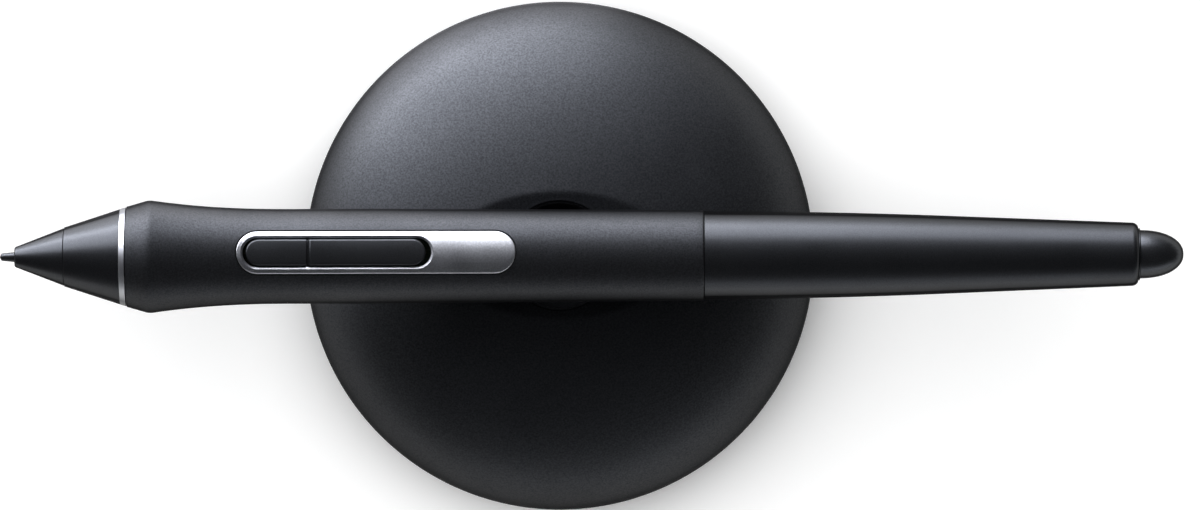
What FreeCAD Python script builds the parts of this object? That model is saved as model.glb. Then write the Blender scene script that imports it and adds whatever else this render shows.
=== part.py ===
import FreeCAD, Part
import math
import os
import Sketcher

# A stylus pen that lies across a round, pebble-shaped pen stand.
# Millimetres, +Z up. The origin is on the stand's axis, on the surface that the stand rests on.
# The pen lies along X with its nib towards -X, rolled a little so that the side switch leans to +Y.
# Pen pieces are drawn along their own X axis, measured back from the nib's point.

SIZES = {
    # Stand: outer form
    "stand_radius": 34.2,
    "belt_height": 8.5,
    "crown_rise": 16.5,
    "rim_setback": 3.0,
    "rim_height": 2.2,
    "crown_wall": 3.8,
    "cavity_arc_radius": 23.0,
    "cavity_flat": 8.0,
    "trough_depth": 1.74,
    "trough_radius": 29.3,
    "trough_lip_round": 5.0,
    "well_radius": 7.27,
    "well_edge_round": 0.25,
    "well_bore_depth": 3.3,
    "collar_depth": 6.0,
    "collar_wall": 1.5,
    # Stand: base
    "foot_setback": 1.3,
    "foot_thickness": 1.2,
    "foot_proud": 0.6,
    "foot_groove_depth": 0.35,
    "foot_groove_width": 0.9,
    "flange_setback": 0.9,
    "flange_gap": 0.2,
    "flange_bevel": 0.6,
    "pan_floor": 1.2,
    "pan_wall": 1.4,
    "pan_wall_setback": 5.9,
    "pan_wall_top": 8.7,
    "rib_depth": 1.6,
    "rib_height": 1.2,
    "rib_start_height": 4.3,
    "rib_sweep": 40.0,
    "lug_sweep": 14.0,
    "lug_height": 1.3,
    "lug_clearance": 0.3,
    "thread_lead": 24.0,
    "ballast_setback": 1.3,
    "ballast_thickness": 1.6,
    "tray_clearance": 1.8,
    "tray_thickness": 2.6,
    "slot_depth": 1.8,
    "slot_width": 1.9,
    "slot_end_wall": 0.9,
    "finger_groove_width": 3.2,
    "finger_groove_depth": 2.0,
    "screw_setback": 5.7,
    "screw_radius": 1.0,
    "screw_head_radius": 1.9,
    "screw_head_height": 1.1,
    "screw_slot_width": 0.4,
    "extractor_radius": 2.6,
    "extractor_flange": 3.4,
    "extractor_proud": 0.7,
    "cup_wall": 1.7,
    "cup_ledge": 1.73,
    "cup_head_height": 2.2,
    "cup_mouth_step": 0.27,
    "cup_seat_radius": 1.7,
    "cup_seat_height": 4.4,
    "fit_clearance": 0.08,
    "seat_gap": 0.2,
    # Pen: place on the stand
    "nib_overhang": 74.2,
    "pen_roll": 4.5,
    "pen_rest_gap": 0.1,
    # Pen: outer form, from the nib back
    "nib_radius": 0.7,
    "nib_length": 19.0,
    "nib_point_radius": 0.43,
    "nib_point_length": 0.2,
    "nib_taper": 2.4,
    "nib_projection": 1.97,
    "nib_clearance": 0.2,
    "tip_face_radius": 1.3,
    "tip_face_round": 0.4,
    "nose_tip_length": 6.46,
    "nose_tip_radius": 3.84,
    "nose_step": 0.07,
    "nose_cone_length": 7.14,
    "nose_cone_radius": 6.27,
    "ring_width": 1.0,
    "ring_radius": 6.54,
    "ring_clearance": 0.05,
    "grip_gap": 0.13,
    "grip_length": 76.7,
    "grip_front_radius": 6.61,
    "grip_peak_setback": 2.92,
    "grip_peak_radius": 7.54,
    "grip_peak_round": 3.4,
    "grip_shoulder_setback": 6.6,
    "grip_shoulder_radius": 7.05,
    "grip_neck_setback": 10.3,
    "grip_neck_radius": 6.67,
    "grip_blend_radius": 55.0,
    "grip_waist_setback": 21.7,
    "grip_waist_radius": 6.29,
    "grip_straight": 11.6,
    "grip_rear_radius": 6.0,
    "grip_end_bevel": 0.2,
    "barrel_length": 57.7,
    "barrel_front_radius": 5.87,
    "barrel_straight": 14.4,
    "barrel_shoulder_radius": 5.75,
    "barrel_middle_radius": 5.02,
    "barrel_end_radius": 4.1,
    "barrel_end_round": 0.69,
    "eraser_radius": 3.21,
    "eraser_projection": 5.9,
    "eraser_shoulder": 3.66,
    "eraser_shoulder_radius": 2.52,
    "eraser_clearance": 0.15,
    # Pen: inner pieces
    "tube_radius": 5.45,
    "tube_bore": 4.75,
    "tube_setback": 0.2,
    "tube_back_setback": 1.0,
    "thread_clearance": 0.15,
    "spigot_bore": 3.9,
    "spigot_length": 4.4,
    "tip_spigot_radius": 2.9,
    "tip_spigot_length": 1.7,
    "former_setback": 0.47,
    "former_radius": 3.5,
    "former_margin": 0.6,
    "chassis_setback": 1.33,
    "chassis_clearance": 0.1,
    "chassis_bore": 3.75,
    "chassis_step": 0.4,
    "chassis_back_gap": 1.5,
    "chassis_tail_radius": 3.4,
    "chassis_tail_bore": 2.6,
    "board_width": 5.6,
    "board_thickness": 0.8,
    "board_front_gap": 1.0,
    "board_back_gap": 1.7,
    "board_height": 1.2,
    "chip_length": 7.0,
    "chip_width": 4.0,
    "chip_height": 1.0,
    "chip_gap": 3.0,
    "capacitor_length": 1.6,
    "capacitor_width": 0.8,
    "capacitor_height": 0.7,
    "capacitor_margin": 0.4,
    "capacitor_pitch": 2.2,
    "tact_length": 3.2,
    "tact_width": 3.0,
    "tact_height": 1.1,
    "tact_button_radius": 0.6,
    "tact_button_height": 0.3,
    "tact_front_setback": 3.3,
    "tact_rear_setback": 4.5,
    "plunger_gap": 0.45,
    "plunger_overlap": 0.18,
    "ferrite_clearance": 0.25,
    "ferrite_radius": 2.1,
    "ferrite_setback": 0.3,
    "coil_radius": 2.85,
    "coil_clearance": 0.05,
    "coil_margin": 0.4,
    "holder_length": 4.4,
    "holder_radius": 1.7,
    "holder_neck_radius": 1.36,
    "holder_gap": 0.7,
    "socket_depth": 3.0,
    "socket_clearance": 0.02,
    "pad_thickness": 0.8,
    "pad_radius": 1.5,
    "sensor_length": 4.6,
    "rear_spigot_length": 8.6,
    "rear_spigot_clearance": 0.05,
    "barrel_bore": 4.2,
    "barrel_bore_end": 3.5,
    "barrel_bore_taper": 38.0,
    "barrel_lip": 1.6,
    "cap_depth": 4.5,
    "cap_socket_depth": 2.0,
    "stem_radius": 1.0,
    "stem_length": 16.8,
    "eraser_ferrite_length": 9.0,
    "eraser_coil_length": 8.0,
    "eraser_coil_setback": 8.0,
    "housing_gap": 2.1,
    "housing_margin": 0.9,
    "housing_wall": 0.5,
    # Side switch
    "bezel_setback": 14.6,
    "bezel_length": 37.0,
    "bezel_width": 5.74,
    "bezel_proud": 0.15,
    "bezel_rise": 0.17,
    "bezel_gap": 0.12,
    "bezel_bevel": 0.18,
    "window_setback": 0.6,
    "window_length": 25.4,
    "window_width": 4.3,
    "rocker_end_gap": 0.8,
    "rocker_side_gap": 0.45,
    "rocker_proud": 0.75,
    "rocker_underside": 4.9,
    "rocker_bevel": 0.3,
    "notch_setback": 8.25,
    "notch_width": 0.75,
    "notch_depth": 0.55,
    "pin_height": 4.3,
    "pin_radius": 0.5,
    "pin_clearance": 0.03,
    "boss_radius": 0.95,
    "boss_gap": 0.35,
    "ear_length": 2.6,
    "ear_width": 5.4,
    "ear_clearance": 0.05,
    "bed_clearance": 0.15,
    "bed_front_margin": 0.3,
    "bed_back_margin": 2.7,
}

# Counts of what repeats, and the tray's place that the extractor takes
LOCK_STARTS = 3
TRAY_PLACES = 12
SLOTS_PER_SIDE = 5
EXTRACTOR_PLACE = 5
SCREWS = 3
FOOT_GROOVES = 3
CAPACITORS = 4
STANDARD_NIBS = 6

V = FreeCAD.Vector
doc = FreeCAD.newDocument("StylusAndStand")
sizes = doc.addObject("Spreadsheet::Sheet", "Sizes")
for row, (alias, number) in enumerate(SIZES.items(), start=1):
    sizes.set(f"A{row}", alias)
    sizes.set(f"B{row}", str(number))
    sizes.setAlias(f"B{row}", alias)
doc.recompute()

# Places worked out from the sizes, such as the stations along the pen where one piece ends
places = doc.addObject("App::VarSet", "Places")


def place(name, expression):
    """Names a place that follows from the driving sizes."""
    places.addProperty("App::PropertyFloat", name, "Places")
    places.setExpression(name, with_sheet(expression))
    doc.recompute()


def with_sheet(expression):
    """Puts the sheet's or the places' name before each alias in an expression."""
    words = []
    word = ""
    for letter in expression + " ":
        if letter.isalnum() or letter == "_" or (letter == "." and word):
            word += letter
            continue
        if word in SIZES:
            word = "Sizes." + word
        elif word in places.PropertiesList and word != "Label":
            word = "Places." + word
        words.append(word + letter)
        word = ""
    return "".join(words).strip()


def value(expression):
    """The number that an expression of sizes and places stands for."""
    return float(sizes.evalExpression(with_sheet(expression)))


# Stand: radii, from the outside in
place("rim_radius", "stand_radius - rim_setback")
place("flange_radius", "rim_radius - flange_setback")
place("pan_wall_radius", "stand_radius - pan_wall_setback")
place("pan_bore", "pan_wall_radius - pan_wall")
place("foot_radius", "pan_wall_radius - foot_setback")
place("shell_bore", "pan_wall_radius + rib_depth + lug_clearance * 2")
place("tray_radius", "pan_bore - seat_gap")
place("ballast_radius", "tray_radius - ballast_setback")
place("screw_circle", "tray_radius - screw_setback")
place("slot_end", "tray_radius - slot_end_wall")
place("slot_start", "slot_end - nib_length - 2 * seat_gap")
place("slot_middle", "(slot_start + slot_end) / 2")
place("cup_head_radius", "well_radius + cup_ledge")
place("cup_mouth_radius", "well_radius - cup_mouth_step")
place("collar_bore", "cup_head_radius + fit_clearance")
place("collar_radius", "collar_bore + collar_wall")
place("foot_neck_radius", "cup_seat_radius + cup_wall")
place("tray_bore", "foot_neck_radius + tray_clearance")
place("ballast_bore", "tray_bore + 2 * seat_gap")
place("extractor_across", f"slot_middle * cos(360 * {EXTRACTOR_PLACE} / {TRAY_PLACES})")
place("extractor_up", f"slot_middle * sin(360 * {EXTRACTOR_PLACE} / {TRAY_PLACES})")

# Stand: heights, from the floor up
place("pan_bottom", "foot_proud")
place("pad_recess_top", "foot_thickness")
place("floor_top", "pad_recess_top + pan_floor")
place("flange_top", "rim_height - flange_gap")
place("ballast_top", "floor_top + ballast_thickness")
place("tray_top", "ballast_top + tray_thickness")
place("slot_floor", "tray_top - slot_depth")
place("crown_height", "belt_height + crown_rise")
place("ceiling", "crown_height - crown_wall")
place("trough_floor", "crown_height - trough_depth")
place("trough_centre", "trough_floor + trough_radius")
place("well_bottom", "trough_floor - well_bore_depth")
place("collar_bottom", "well_bottom - collar_depth")
place("cup_top", "well_bottom - fit_clearance")
place("cup_bottom", "floor_top + seat_gap")
place("cup_slope", "(cup_mouth_radius - cup_seat_radius) / (cup_top - cup_seat_height)")
place("head_bottom", "cup_top - cup_head_height")
place("head_neck_radius", "cup_mouth_radius - cup_head_height * cup_slope + cup_wall")
place("rib_rise", "thread_lead * rib_sweep / 360")
place("lug_rise", "thread_lead * lug_sweep / 360")
place("lug_inner_radius", "pan_wall_radius + lug_clearance")
place("lug_start_angle", "(rib_sweep - lug_sweep) / 2")
place("lug_bottom",
      "rib_start_height + thread_lead * lug_start_angle / 360 - lug_clearance - lug_height")

# Pen, from the nib back
place("cone_start", "nib_projection + nose_tip_length")
place("cone_front_radius", "nose_tip_radius + nose_step")
place("ring_start", "cone_start + nose_cone_length")
place("grip_start", "ring_start + ring_width + grip_gap")
place("spigot_end", "ring_start + spigot_length")
place("joint_station", "grip_start + grip_length")
place("straight_start", "grip_start + grip_waist_setback")
place("straight_end", "straight_start + grip_straight")
place("barrel_end", "joint_station + barrel_length")
place("barrel_shoulder", "joint_station + barrel_straight")
place("barrel_middle", "(barrel_shoulder + barrel_end) / 2")
place("eraser_end", "barrel_end + eraser_projection")
place("rear_slope", "(grip_waist_radius - grip_rear_radius) / (joint_station - straight_end)")

# Pen: inner pieces, which follow the outer form, the nib and the eraser
place("tube_start", "grip_start + tube_setback")
place("tube_end", "joint_station - tube_back_setback")
place("spigot_radius", "tube_bore - thread_clearance")
place("ring_bore_radius", "spigot_radius + ring_clearance")
place("rear_spigot_radius", "tube_bore - rear_spigot_clearance")
place("rear_spigot_start", "tube_end - rear_spigot_length")
place("holder_start", "nib_length + seat_gap - socket_depth")
place("holder_end", "holder_start + holder_length")
place("sensor_start", "holder_end + pad_thickness")
place("sensor_end", "sensor_start + sensor_length")
place("former_start", "cone_start + tip_spigot_length + former_setback")
place("former_end", "sensor_end + former_margin")
place("former_bore", "coil_radius + coil_clearance")
place("ferrite_bore", "nib_radius + ferrite_clearance")
place("ferrite_start", "former_start + ferrite_setback")
place("ferrite_end", "holder_start - holder_gap")
place("chassis_radius", "tube_bore - chassis_clearance")
place("chassis_start", "spigot_end + chassis_setback")
place("chassis_end", "rear_spigot_start - chassis_back_gap")
place("board_start", "former_end + board_front_gap")
place("board_end", "chassis_end - board_back_gap")
place("board_top", "board_height + board_thickness")
place("capacitor_row", f"capacitor_pitch * ({CAPACITORS} - 1) + capacitor_length")
place("capacitor_start", "board_end - capacitor_margin - capacitor_row")
place("chip_start", "capacitor_start - chip_gap - chip_length")
place("cap_start", "barrel_end - cap_depth")
place("stem_end", "cap_start + cap_socket_depth")
place("stem_start", "stem_end - stem_length")
place("eraser_sensor_end", "stem_start - pad_thickness")
place("eraser_sensor_start", "eraser_sensor_end - sensor_length")
place("eraser_sensor_radius", "coil_radius - 2 * coil_clearance")
place("eraser_coil_middle", "cap_start - eraser_coil_setback")
place("housing_bore", "eraser_sensor_radius + coil_clearance")
place("housing_radius", "housing_bore + housing_wall")
place("housing_start", "eraser_sensor_start - housing_margin")
place("housing_end", "cap_start - housing_gap")
place("tail_end", "housing_start - seat_gap")

# Side switch, which follows the grip
place("bezel_start", "grip_start + bezel_setback")
place("window_start", "bezel_start + window_setback")
place("rocker_start", "window_start + rocker_end_gap")
place("rocker_length", "window_length - 2 * rocker_end_gap")
place("rocker_width", "window_width - 2 * rocker_side_gap")
place("boss_width", "rocker_width - 2 * boss_gap")
place("pivot_station", "rocker_start + notch_setback")
place("pin_length", "ear_width - 2 * ear_clearance")
place("tube_window_width", "ear_width + 2 * ear_clearance")
place("bed_width", "ear_width + 2 * bed_clearance")
place("bed_start", "bezel_start - bed_front_margin")
place("bed_end", "bezel_start + bezel_length + bed_back_margin")
place("tact_front", "rocker_start + tact_front_setback")
place("tact_rear", "rocker_start + rocker_length - tact_rear_setback")
place("tact_top", "board_top + tact_height")
place("plunger_bottom", "tact_top + tact_button_height + plunger_gap")
place("plunger_top", "rocker_underside + plunger_overlap")

# The pen rests where the straight part of its barrel meets the lower end of the trough
place("lip_reach", "sqrt(trough_depth * stand_radius * stand_radius / crown_rise * 2)")
place("rest_radius", "grip_waist_radius - rear_slope * (nib_overhang - lip_reach - straight_end)")
place("pen_height", "trough_floor + rest_radius + pen_rest_gap")


def new_body(label):
    """A sub-part of the assembly, under the name that its file gets."""
    body = doc.addObject("PartDesign::Body", "Body_" + label)
    body.Label = label
    return body


def lay_on_stand(piece):
    """Puts a pen piece where the pen lies: across the trough, rolled towards +Y."""
    piece.Placement = FreeCAD.Placement(V(0, 0, 0), FreeCAD.Rotation(V(1, 0, 0), -value("pen_roll")))
    piece.setExpression("Placement.Base.x", with_sheet("-nib_overhang"))
    piece.setExpression("Placement.Base.z", with_sheet("pen_height"))
    return piece


def new_pen_body(label):
    """A pen piece's body, drawn along its own X axis and laid on the stand."""
    return lay_on_stand(new_body(label))


def attach(body, name, role):
    """A sketch on one of the body's own origin planes."""
    sketch = body.newObject("Sketcher::SketchObject", name)
    plane = [item for item in body.Origin.OriginFeatures if item.Role == role][0]
    sketch.AttachmentSupport = (plane, [""])
    sketch.MapMode = "FlatFace"
    return sketch


def drive(sketch, name, word, *where, to):
    """A dimension of a sketch, bound to an expression of sizes and places."""
    index = sketch.addConstraint(Sketcher.Constraint(word, *where, value(to)))
    sketch.renameConstraint(index, name)
    sketch.setExpression("Constraints." + name, with_sheet(to))


def arc_centre(start, end, kind, amount):
    """The centre of an arc between two points, from its radius, which Hollow turns inwards, or
    from one of its coordinates."""
    middle = (start + end) * 0.5
    chord = end - start
    across = V(-chord.y, chord.x, 0).normalize()
    if kind in ("Radius", "Hollow"):
        reach = math.sqrt(amount * amount - (chord.Length / 2) ** 2)
        reach = -reach if kind == "Hollow" else reach
    elif kind == "DistanceX":
        reach = (amount - middle.x) / across.x
    else:
        reach = (amount - middle.y) / across.y
    return middle + across * reach


def arc_through(start, end, centre):
    """The short arc about a centre, which a half circle takes on the right of its chord, and the
    vertex numbers of its start and end, because a sketch counts every arc anticlockwise."""
    radius = (start - centre).Length
    chord = end - start
    bulge = (start + end) * 0.5 - centre
    if bulge.Length < 1e-6 * radius:
        bulge = V(chord.y, -chord.x, 0)
    middle = centre + bulge.normalize() * radius
    if chord.cross(middle - start).z > 0:
        return Part.Arc(end, middle, start), (2, 1)
    return Part.Arc(start, middle, end), (1, 2)


def outline(body, name, role, corners, arcs=None):
    """A closed sketch through driven corners, anticlockwise. arcs gives, for the side that
    leaves a corner, the radius of its arc or one coordinate of its centre."""
    arcs = arcs or {}
    sketch = attach(body, name, role)
    points = [V(value(across), value(up), 0) for across, up in corners]
    count = len(points)
    heads = []
    for i in range(count):
        start = points[i]
        end = points[(i + 1) % count]
        if i in arcs:
            kind, amount = arcs[i]
            arc, ends = arc_through(start, end, arc_centre(start, end, kind, value(amount)))
            sketch.addGeometry(arc)
            heads.append(ends)
        else:
            sketch.addGeometry(Part.LineSegment(start, end))
            heads.append((1, 2))
    for i in range(count):
        after = (i + 1) % count
        sketch.addConstraint(Sketcher.Constraint("Coincident", i, heads[i][1], after, heads[after][0]))
    for i, (across, up) in enumerate(corners):
        drive(sketch, f"across_{i}", "DistanceX", -1, 1, i, heads[i][0], to=across)
        drive(sketch, f"up_{i}", "DistanceY", -1, 1, i, heads[i][0], to=up)
    for i, (kind, amount) in arcs.items():
        if kind in ("Radius", "Hollow"):
            drive(sketch, f"radius_{i}", "Radius", i, to=amount)
        else:
            drive(sketch, f"centre_{i}", kind, -1, 1, i, 3, to=amount)
    return sketch


def circle(body, name, role, across, up, radius):
    """A sketch of one driven circle."""
    sketch = attach(body, name, role)
    sketch.addGeometry(Part.Circle(V(value(across), value(up), 0), V(0, 0, 1), value(radius)))
    drive(sketch, "across", "DistanceX", -1, 1, 0, 3, to=across)
    drive(sketch, "up", "DistanceY", -1, 1, 0, 3, to=up)
    drive(sketch, "radius", "Radius", 0, to=radius)
    return sketch


def rectangle(body, name, role, left, bottom, right, top, arcs=None):
    """A sketch of a driven rectangle."""
    corners = [(left, bottom), (right, bottom), (right, top), (left, top)]
    return outline(body, name, role, corners, arcs)


def capsule(body, name, start, length, width, gap="0"):
    """A stadium outline in the plane that the switch faces, widened all round by a gap."""
    half = f"({width}) / 2"
    left = f"{start} + {half}"
    right = f"{start} + {length} - {half}"
    low = f"-({half}) - {gap}"
    high = f"{half} + {gap}"
    arcs = {1: ("DistanceX", right), 3: ("DistanceX", left)}
    return rectangle(body, name, "XY_Plane", left, low, right, high, arcs)


def revolve(body, sketch, axis, kind="PartDesign::Revolution", angle=360.0, centred=False):
    """Turns a sketch about its own horizontal or vertical axis."""
    feature = body.newObject(kind, sketch.Name + "_turned")
    feature.Profile = sketch
    feature.ReferenceAxis = (sketch, [axis])
    feature.Angle = angle
    feature.Midplane = centred
    doc.recompute()
    return feature


def turned(body, corners, arcs=None, name="Profile"):
    """A pen piece: a profile of station and radius, turned about the pen's axis."""
    return revolve(body, outline(body, name, "XZ_Plane", corners, arcs), "H_Axis")


def spun(body, corners, arcs=None, name="Profile"):
    """A stand piece: a profile of radius and height, turned about the stand's axis."""
    return revolve(body, outline(body, name, "XZ_Plane", corners, arcs), "V_Axis")


def pad(body, sketch, length, reverse=False, both=False):
    """Raises a sketch by a driven length."""
    feature = body.newObject("PartDesign::Pad", sketch.Name + "_raised")
    feature.Profile = sketch
    feature.Length = value(length)
    feature.setExpression("Length", with_sheet(length))
    feature.Reversed = reverse
    feature.Midplane = both
    doc.recompute()
    return feature


def pocket(body, sketch, reverse=False, both=False, length=None):
    """Cuts a sketch out of the body, right through or to a driven length."""
    before = body.Shape.Volume
    feature = body.newObject("PartDesign::Pocket", sketch.Name + "_cut")
    feature.Profile = sketch
    feature.Reversed = reverse
    feature.Midplane = both
    if length is None:
        feature.Type = "ThroughAll"
    else:
        feature.Length = value(length)
        feature.setExpression("Length", with_sheet(length))
    doc.recompute()
    if before - body.Shape.Volume < 1e-4:
        raise RuntimeError(f"{body.Label}: {sketch.Name} cuts nothing")
    return feature


def polar(body, original, count, angle=360.0):
    """Repeats a feature about the stand's axis."""
    feature = body.newObject("PartDesign::PolarPattern", original.Name + "_repeated")
    feature.Originals = [original]
    axis = [item for item in body.Origin.OriginFeatures if item.Role == "Z_Axis"][0]
    feature.Axis = (axis, [""])
    feature.Angle = angle
    feature.Occurrences = count
    body.Tip = feature
    doc.recompute()
    return feature


def edges_where(body, test):
    """The names of the body's edges whose points all pass a test."""
    names = []
    for index, edge in enumerate(body.Shape.Edges, start=1):
        ends = edge.FirstParameter, edge.LastParameter
        spots = [edge.valueAt(ends[0] + (ends[1] - ends[0]) * share) for share in (0.1, 0.4, 0.7, 0.95)]
        if all(test(body.Placement.inverse().multVec(spot)) for spot in spots):
            names.append(f"Edge{index}")
    return names


def dress(body, kind, name, test, size):
    """A fillet or chamfer on the edges that pass a test."""
    names = edges_where(body, test)
    if not names:
        raise RuntimeError(f"{body.Label}: {name} finds no edge")
    base = body.Tip
    feature = body.newObject(kind, name)
    feature.Base = (base, names)
    prop = "Radius" if kind.endswith("Fillet") else "Size"
    setattr(feature, prop, value(size))
    feature.setExpression(prop, with_sheet(size))
    doc.recompute()
    return feature


def near(number, expression, within=0.02):
    """Whether a coordinate lies at a driven place."""
    return abs(number - value(expression)) < within


def radius_of(point):
    """A point's distance from the pen's own axis."""
    return math.hypot(point.y, point.z)


def helical(body, sketch, rise):
    """Carries a sketch up the lock's helix about the stand's axis."""
    feature = body.newObject("PartDesign::AdditiveHelix", sketch.Name + "_swept")
    feature.Profile = sketch
    feature.ReferenceAxis = (sketch, ["V_Axis"])
    feature.Mode = "pitch-height-angle"
    feature.Pitch = value("thread_lead")
    feature.setExpression("Pitch", with_sheet("thread_lead"))
    feature.Height = value(rise)
    feature.setExpression("Height", with_sheet(rise))
    doc.recompute()
    return feature


def foot_pad():
    """Soft disc under the base, with ring grooves in its lower face."""
    body = new_body("foot_pad")
    reach = "(foot_radius - foot_groove_width)"
    spun(body, [("0", "0"), ("foot_radius", "0"), ("foot_radius", "foot_thickness"),
                ("0", "foot_thickness")])
    for ring in range(FOOT_GROOVES):
        inner = f"{reach} * {ring + 2} / {FOOT_GROOVES + 2}"
        groove = rectangle(body, f"Groove{ring}", "XZ_Plane", inner, "0 - foot_groove_depth",
                           f"{inner} + foot_groove_width", "foot_groove_depth")
        revolve(body, groove, "V_Axis", "PartDesign::Groove")
    return body


def base_pan():
    """Moulded base: a dished floor, an upright wall and the ribs of the quick-turn lock."""
    body = new_body("base_pan")
    spun(body, [
        ("0", "pad_recess_top"),
        ("foot_radius + fit_clearance", "pad_recess_top"),
        ("foot_radius + fit_clearance", "pan_bottom"),
        ("flange_radius - flange_bevel", "pan_bottom"),
        ("flange_radius", "pan_bottom + flange_bevel"),
        ("flange_radius", "flange_top"),
        ("pan_wall_radius", "flange_top"),
        ("pan_wall_radius", "pan_wall_top"),
        ("pan_bore", "pan_wall_top"),
        ("pan_bore", "floor_top"),
        ("0", "floor_top"),
    ])
    # The ribs start in the middle of the wall so that they grow out of it
    rib = rectangle(body, "Rib", "XZ_Plane", "(pan_wall_radius + pan_bore) / 2", "rib_start_height",
                    "pan_wall_radius + rib_depth", "rib_start_height + rib_height")
    polar(body, helical(body, rib, "rib_rise"), LOCK_STARTS)
    bore = circle(body, "ScrewBore", "XY_Plane", "screw_circle", "0", "screw_radius")
    turn_about_axis(bore, 180.0 / TRAY_PLACES)
    polar(body, pocket(body, bore, reverse=True), SCREWS)
    return body


def turn_about_axis(sketch, angle):
    """Turns a flat sketch about the stand's axis, for a pattern that starts off the X axis."""
    sketch.AttachmentOffset = FreeCAD.Placement(V(0, 0, 0), FreeCAD.Rotation(V(0, 0, 1), angle))
    doc.recompute()


def ballast_ring():
    """Flat steel ring that keeps the stand down, with holes for the base screws."""
    body = new_body("ballast_ring")
    spun(body, [("ballast_bore", "floor_top"), ("ballast_radius", "floor_top"),
                ("ballast_radius", "ballast_top"), ("ballast_bore", "ballast_top")])
    bore = circle(body, "ScrewHole", "XY_Plane", "screw_circle", "0", "screw_radius + seat_gap")
    turn_about_axis(bore, 180.0 / TRAY_PLACES)
    polar(body, pocket(body, bore, reverse=True), SCREWS)
    return body


def nib_tray():
    """Tray for spare nibs: radial slots on two sides, a ring groove for a fingertip to lift a nib
    by, the extractor's seat in the place between them, and counterbored screw holes."""
    body = new_body("nib_tray")
    spun(body, [("tray_bore", "ballast_top"), ("tray_radius", "ballast_top"),
                ("tray_radius", "tray_top"), ("tray_bore", "tray_top")])
    step = 360.0 / TRAY_PLACES
    for side in range(2):
        slot = rectangle(body, f"Slot{side}", "XY_Plane", "slot_start", "-slot_width / 2",
                         "slot_end", "slot_width / 2")
        slot.AttachmentOffset = FreeCAD.Placement(V(0, 0, value("slot_floor")),
                                                  FreeCAD.Rotation(V(0, 0, 1), 180.0 * side))
        slot.setExpression("AttachmentOffset.Base.z", with_sheet("slot_floor"))
        doc.recompute()
        polar(body, pocket(body, slot, reverse=True), SLOTS_PER_SIDE, step * (SLOTS_PER_SIDE - 1))
    finger = rectangle(body, "FingerGroove", "XZ_Plane",
                       "slot_middle - finger_groove_width / 2", "tray_top - finger_groove_depth",
                       "slot_middle + finger_groove_width / 2", "tray_top + finger_groove_depth")
    groove = revolve(body, finger, "V_Axis", "PartDesign::Groove", step * (SLOTS_PER_SIDE - 1))
    groove.Reversed = True
    body.Tip = groove
    doc.recompute()
    polar(body, groove, 2)
    seat = circle(body, "ExtractorSeat", "XY_Plane", "extractor_across", "extractor_up",
                  "extractor_radius + socket_clearance")
    pocket(body, seat, reverse=True)
    for name, radius, floor in (("ScrewHole", "screw_radius + seat_gap", "ballast_top"),
                                ("HeadSeat", "screw_head_radius + seat_gap",
                                 "tray_top - screw_head_height - seat_gap")):
        hole = circle(body, name, "XY_Plane", "screw_circle", "0", radius)
        hole.AttachmentOffset = FreeCAD.Placement(V(0, 0, value(floor)),
                                                  FreeCAD.Rotation(V(0, 0, 1), step / 2))
        hole.setExpression("AttachmentOffset.Base.z", with_sheet(floor))
        doc.recompute()
        polar(body, pocket(body, hole, reverse=True), SCREWS)
    return body


def nib_extractor():
    """Steel bush that pinches a worn nib: a flanged ring with a hole just over a nib's width."""
    body = new_body("nib_extractor")
    spun(body, [
        ("nib_radius + fit_clearance", "ballast_top"),
        ("extractor_radius", "ballast_top"),
        ("extractor_radius", "tray_top"),
        ("extractor_flange", "tray_top"),
        ("extractor_radius", "tray_top + extractor_proud"),
        ("nib_radius + extractor_proud", "tray_top + extractor_proud"),
        ("nib_radius + fit_clearance", "tray_top"),
    ])
    body.setExpression("Placement.Base.x", with_sheet("extractor_across"))
    body.setExpression("Placement.Base.y", with_sheet("extractor_up"))
    return body


def base_screw():
    """One pan-head screw that holds the tray and the ballast down on the base's floor."""
    head_floor = "tray_top - screw_head_height - seat_gap"
    body = new_body("screw_pattern")
    spun(body, [
        ("0", "pad_recess_top"),
        ("screw_radius", "pad_recess_top"),
        ("screw_radius", head_floor),
        ("screw_head_radius", head_floor),
        ("screw_head_radius - seat_gap", "tray_top - seat_gap"),
        ("0", "tray_top - seat_gap"),
    ])
    slot_bottom = "tray_top - screw_head_height"
    recess = rectangle(body, "Recess", "XY_Plane", "-screw_slot_width / 2", "-screw_radius",
                       "screw_slot_width / 2", "screw_radius")
    recess.AttachmentOffset = FreeCAD.Placement(V(0, 0, value(slot_bottom)), FreeCAD.Rotation())
    recess.setExpression("AttachmentOffset.Base.z", with_sheet(slot_bottom))
    doc.recompute()
    pocket(body, recess, reverse=True)
    return body


def spare_nib():
    """One spare nib, drawn along X from its point."""
    body = new_body("nib_pattern")
    nib_profile(body)
    return body


def nib_profile(body):
    """A nib: a blunt point, a short taper and a plain rod."""
    turned(body, [
        ("nib_length", "0"),
        ("nib_length", "nib_radius"),
        ("nib_taper", "nib_radius"),
        ("nib_point_length", "nib_point_radius"),
        ("0", "0"),
    ])


def copies(label, pattern, spots):
    """A group of equal loose pieces, as one named node: the pattern piece at each spot."""
    group = doc.addObject("Part::Feature", "Group_" + label)
    group.Label = label
    group.Shape = Part.makeCompound([pattern.Shape.transformed(spot.toMatrix()) for spot in spots])
    return group


def tray_spot(index, radius, height):
    """A place on the tray's clock of equal steps, with X pointing outwards."""
    turn = FreeCAD.Rotation(V(0, 0, 1), 360.0 * index / TRAY_PLACES)
    return FreeCAD.Placement(turn.multVec(V(radius, 0, height)), turn)


def spare_nibs(label, pattern, slots):
    """Spare nibs in their slots, points outwards in turn."""
    height = value("slot_floor + nib_radius + socket_clearance")
    spots = [tray_spot(slot, value("slot_start + seat_gap"), height) for slot in slots]
    return copies(label, pattern, spots)


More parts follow.
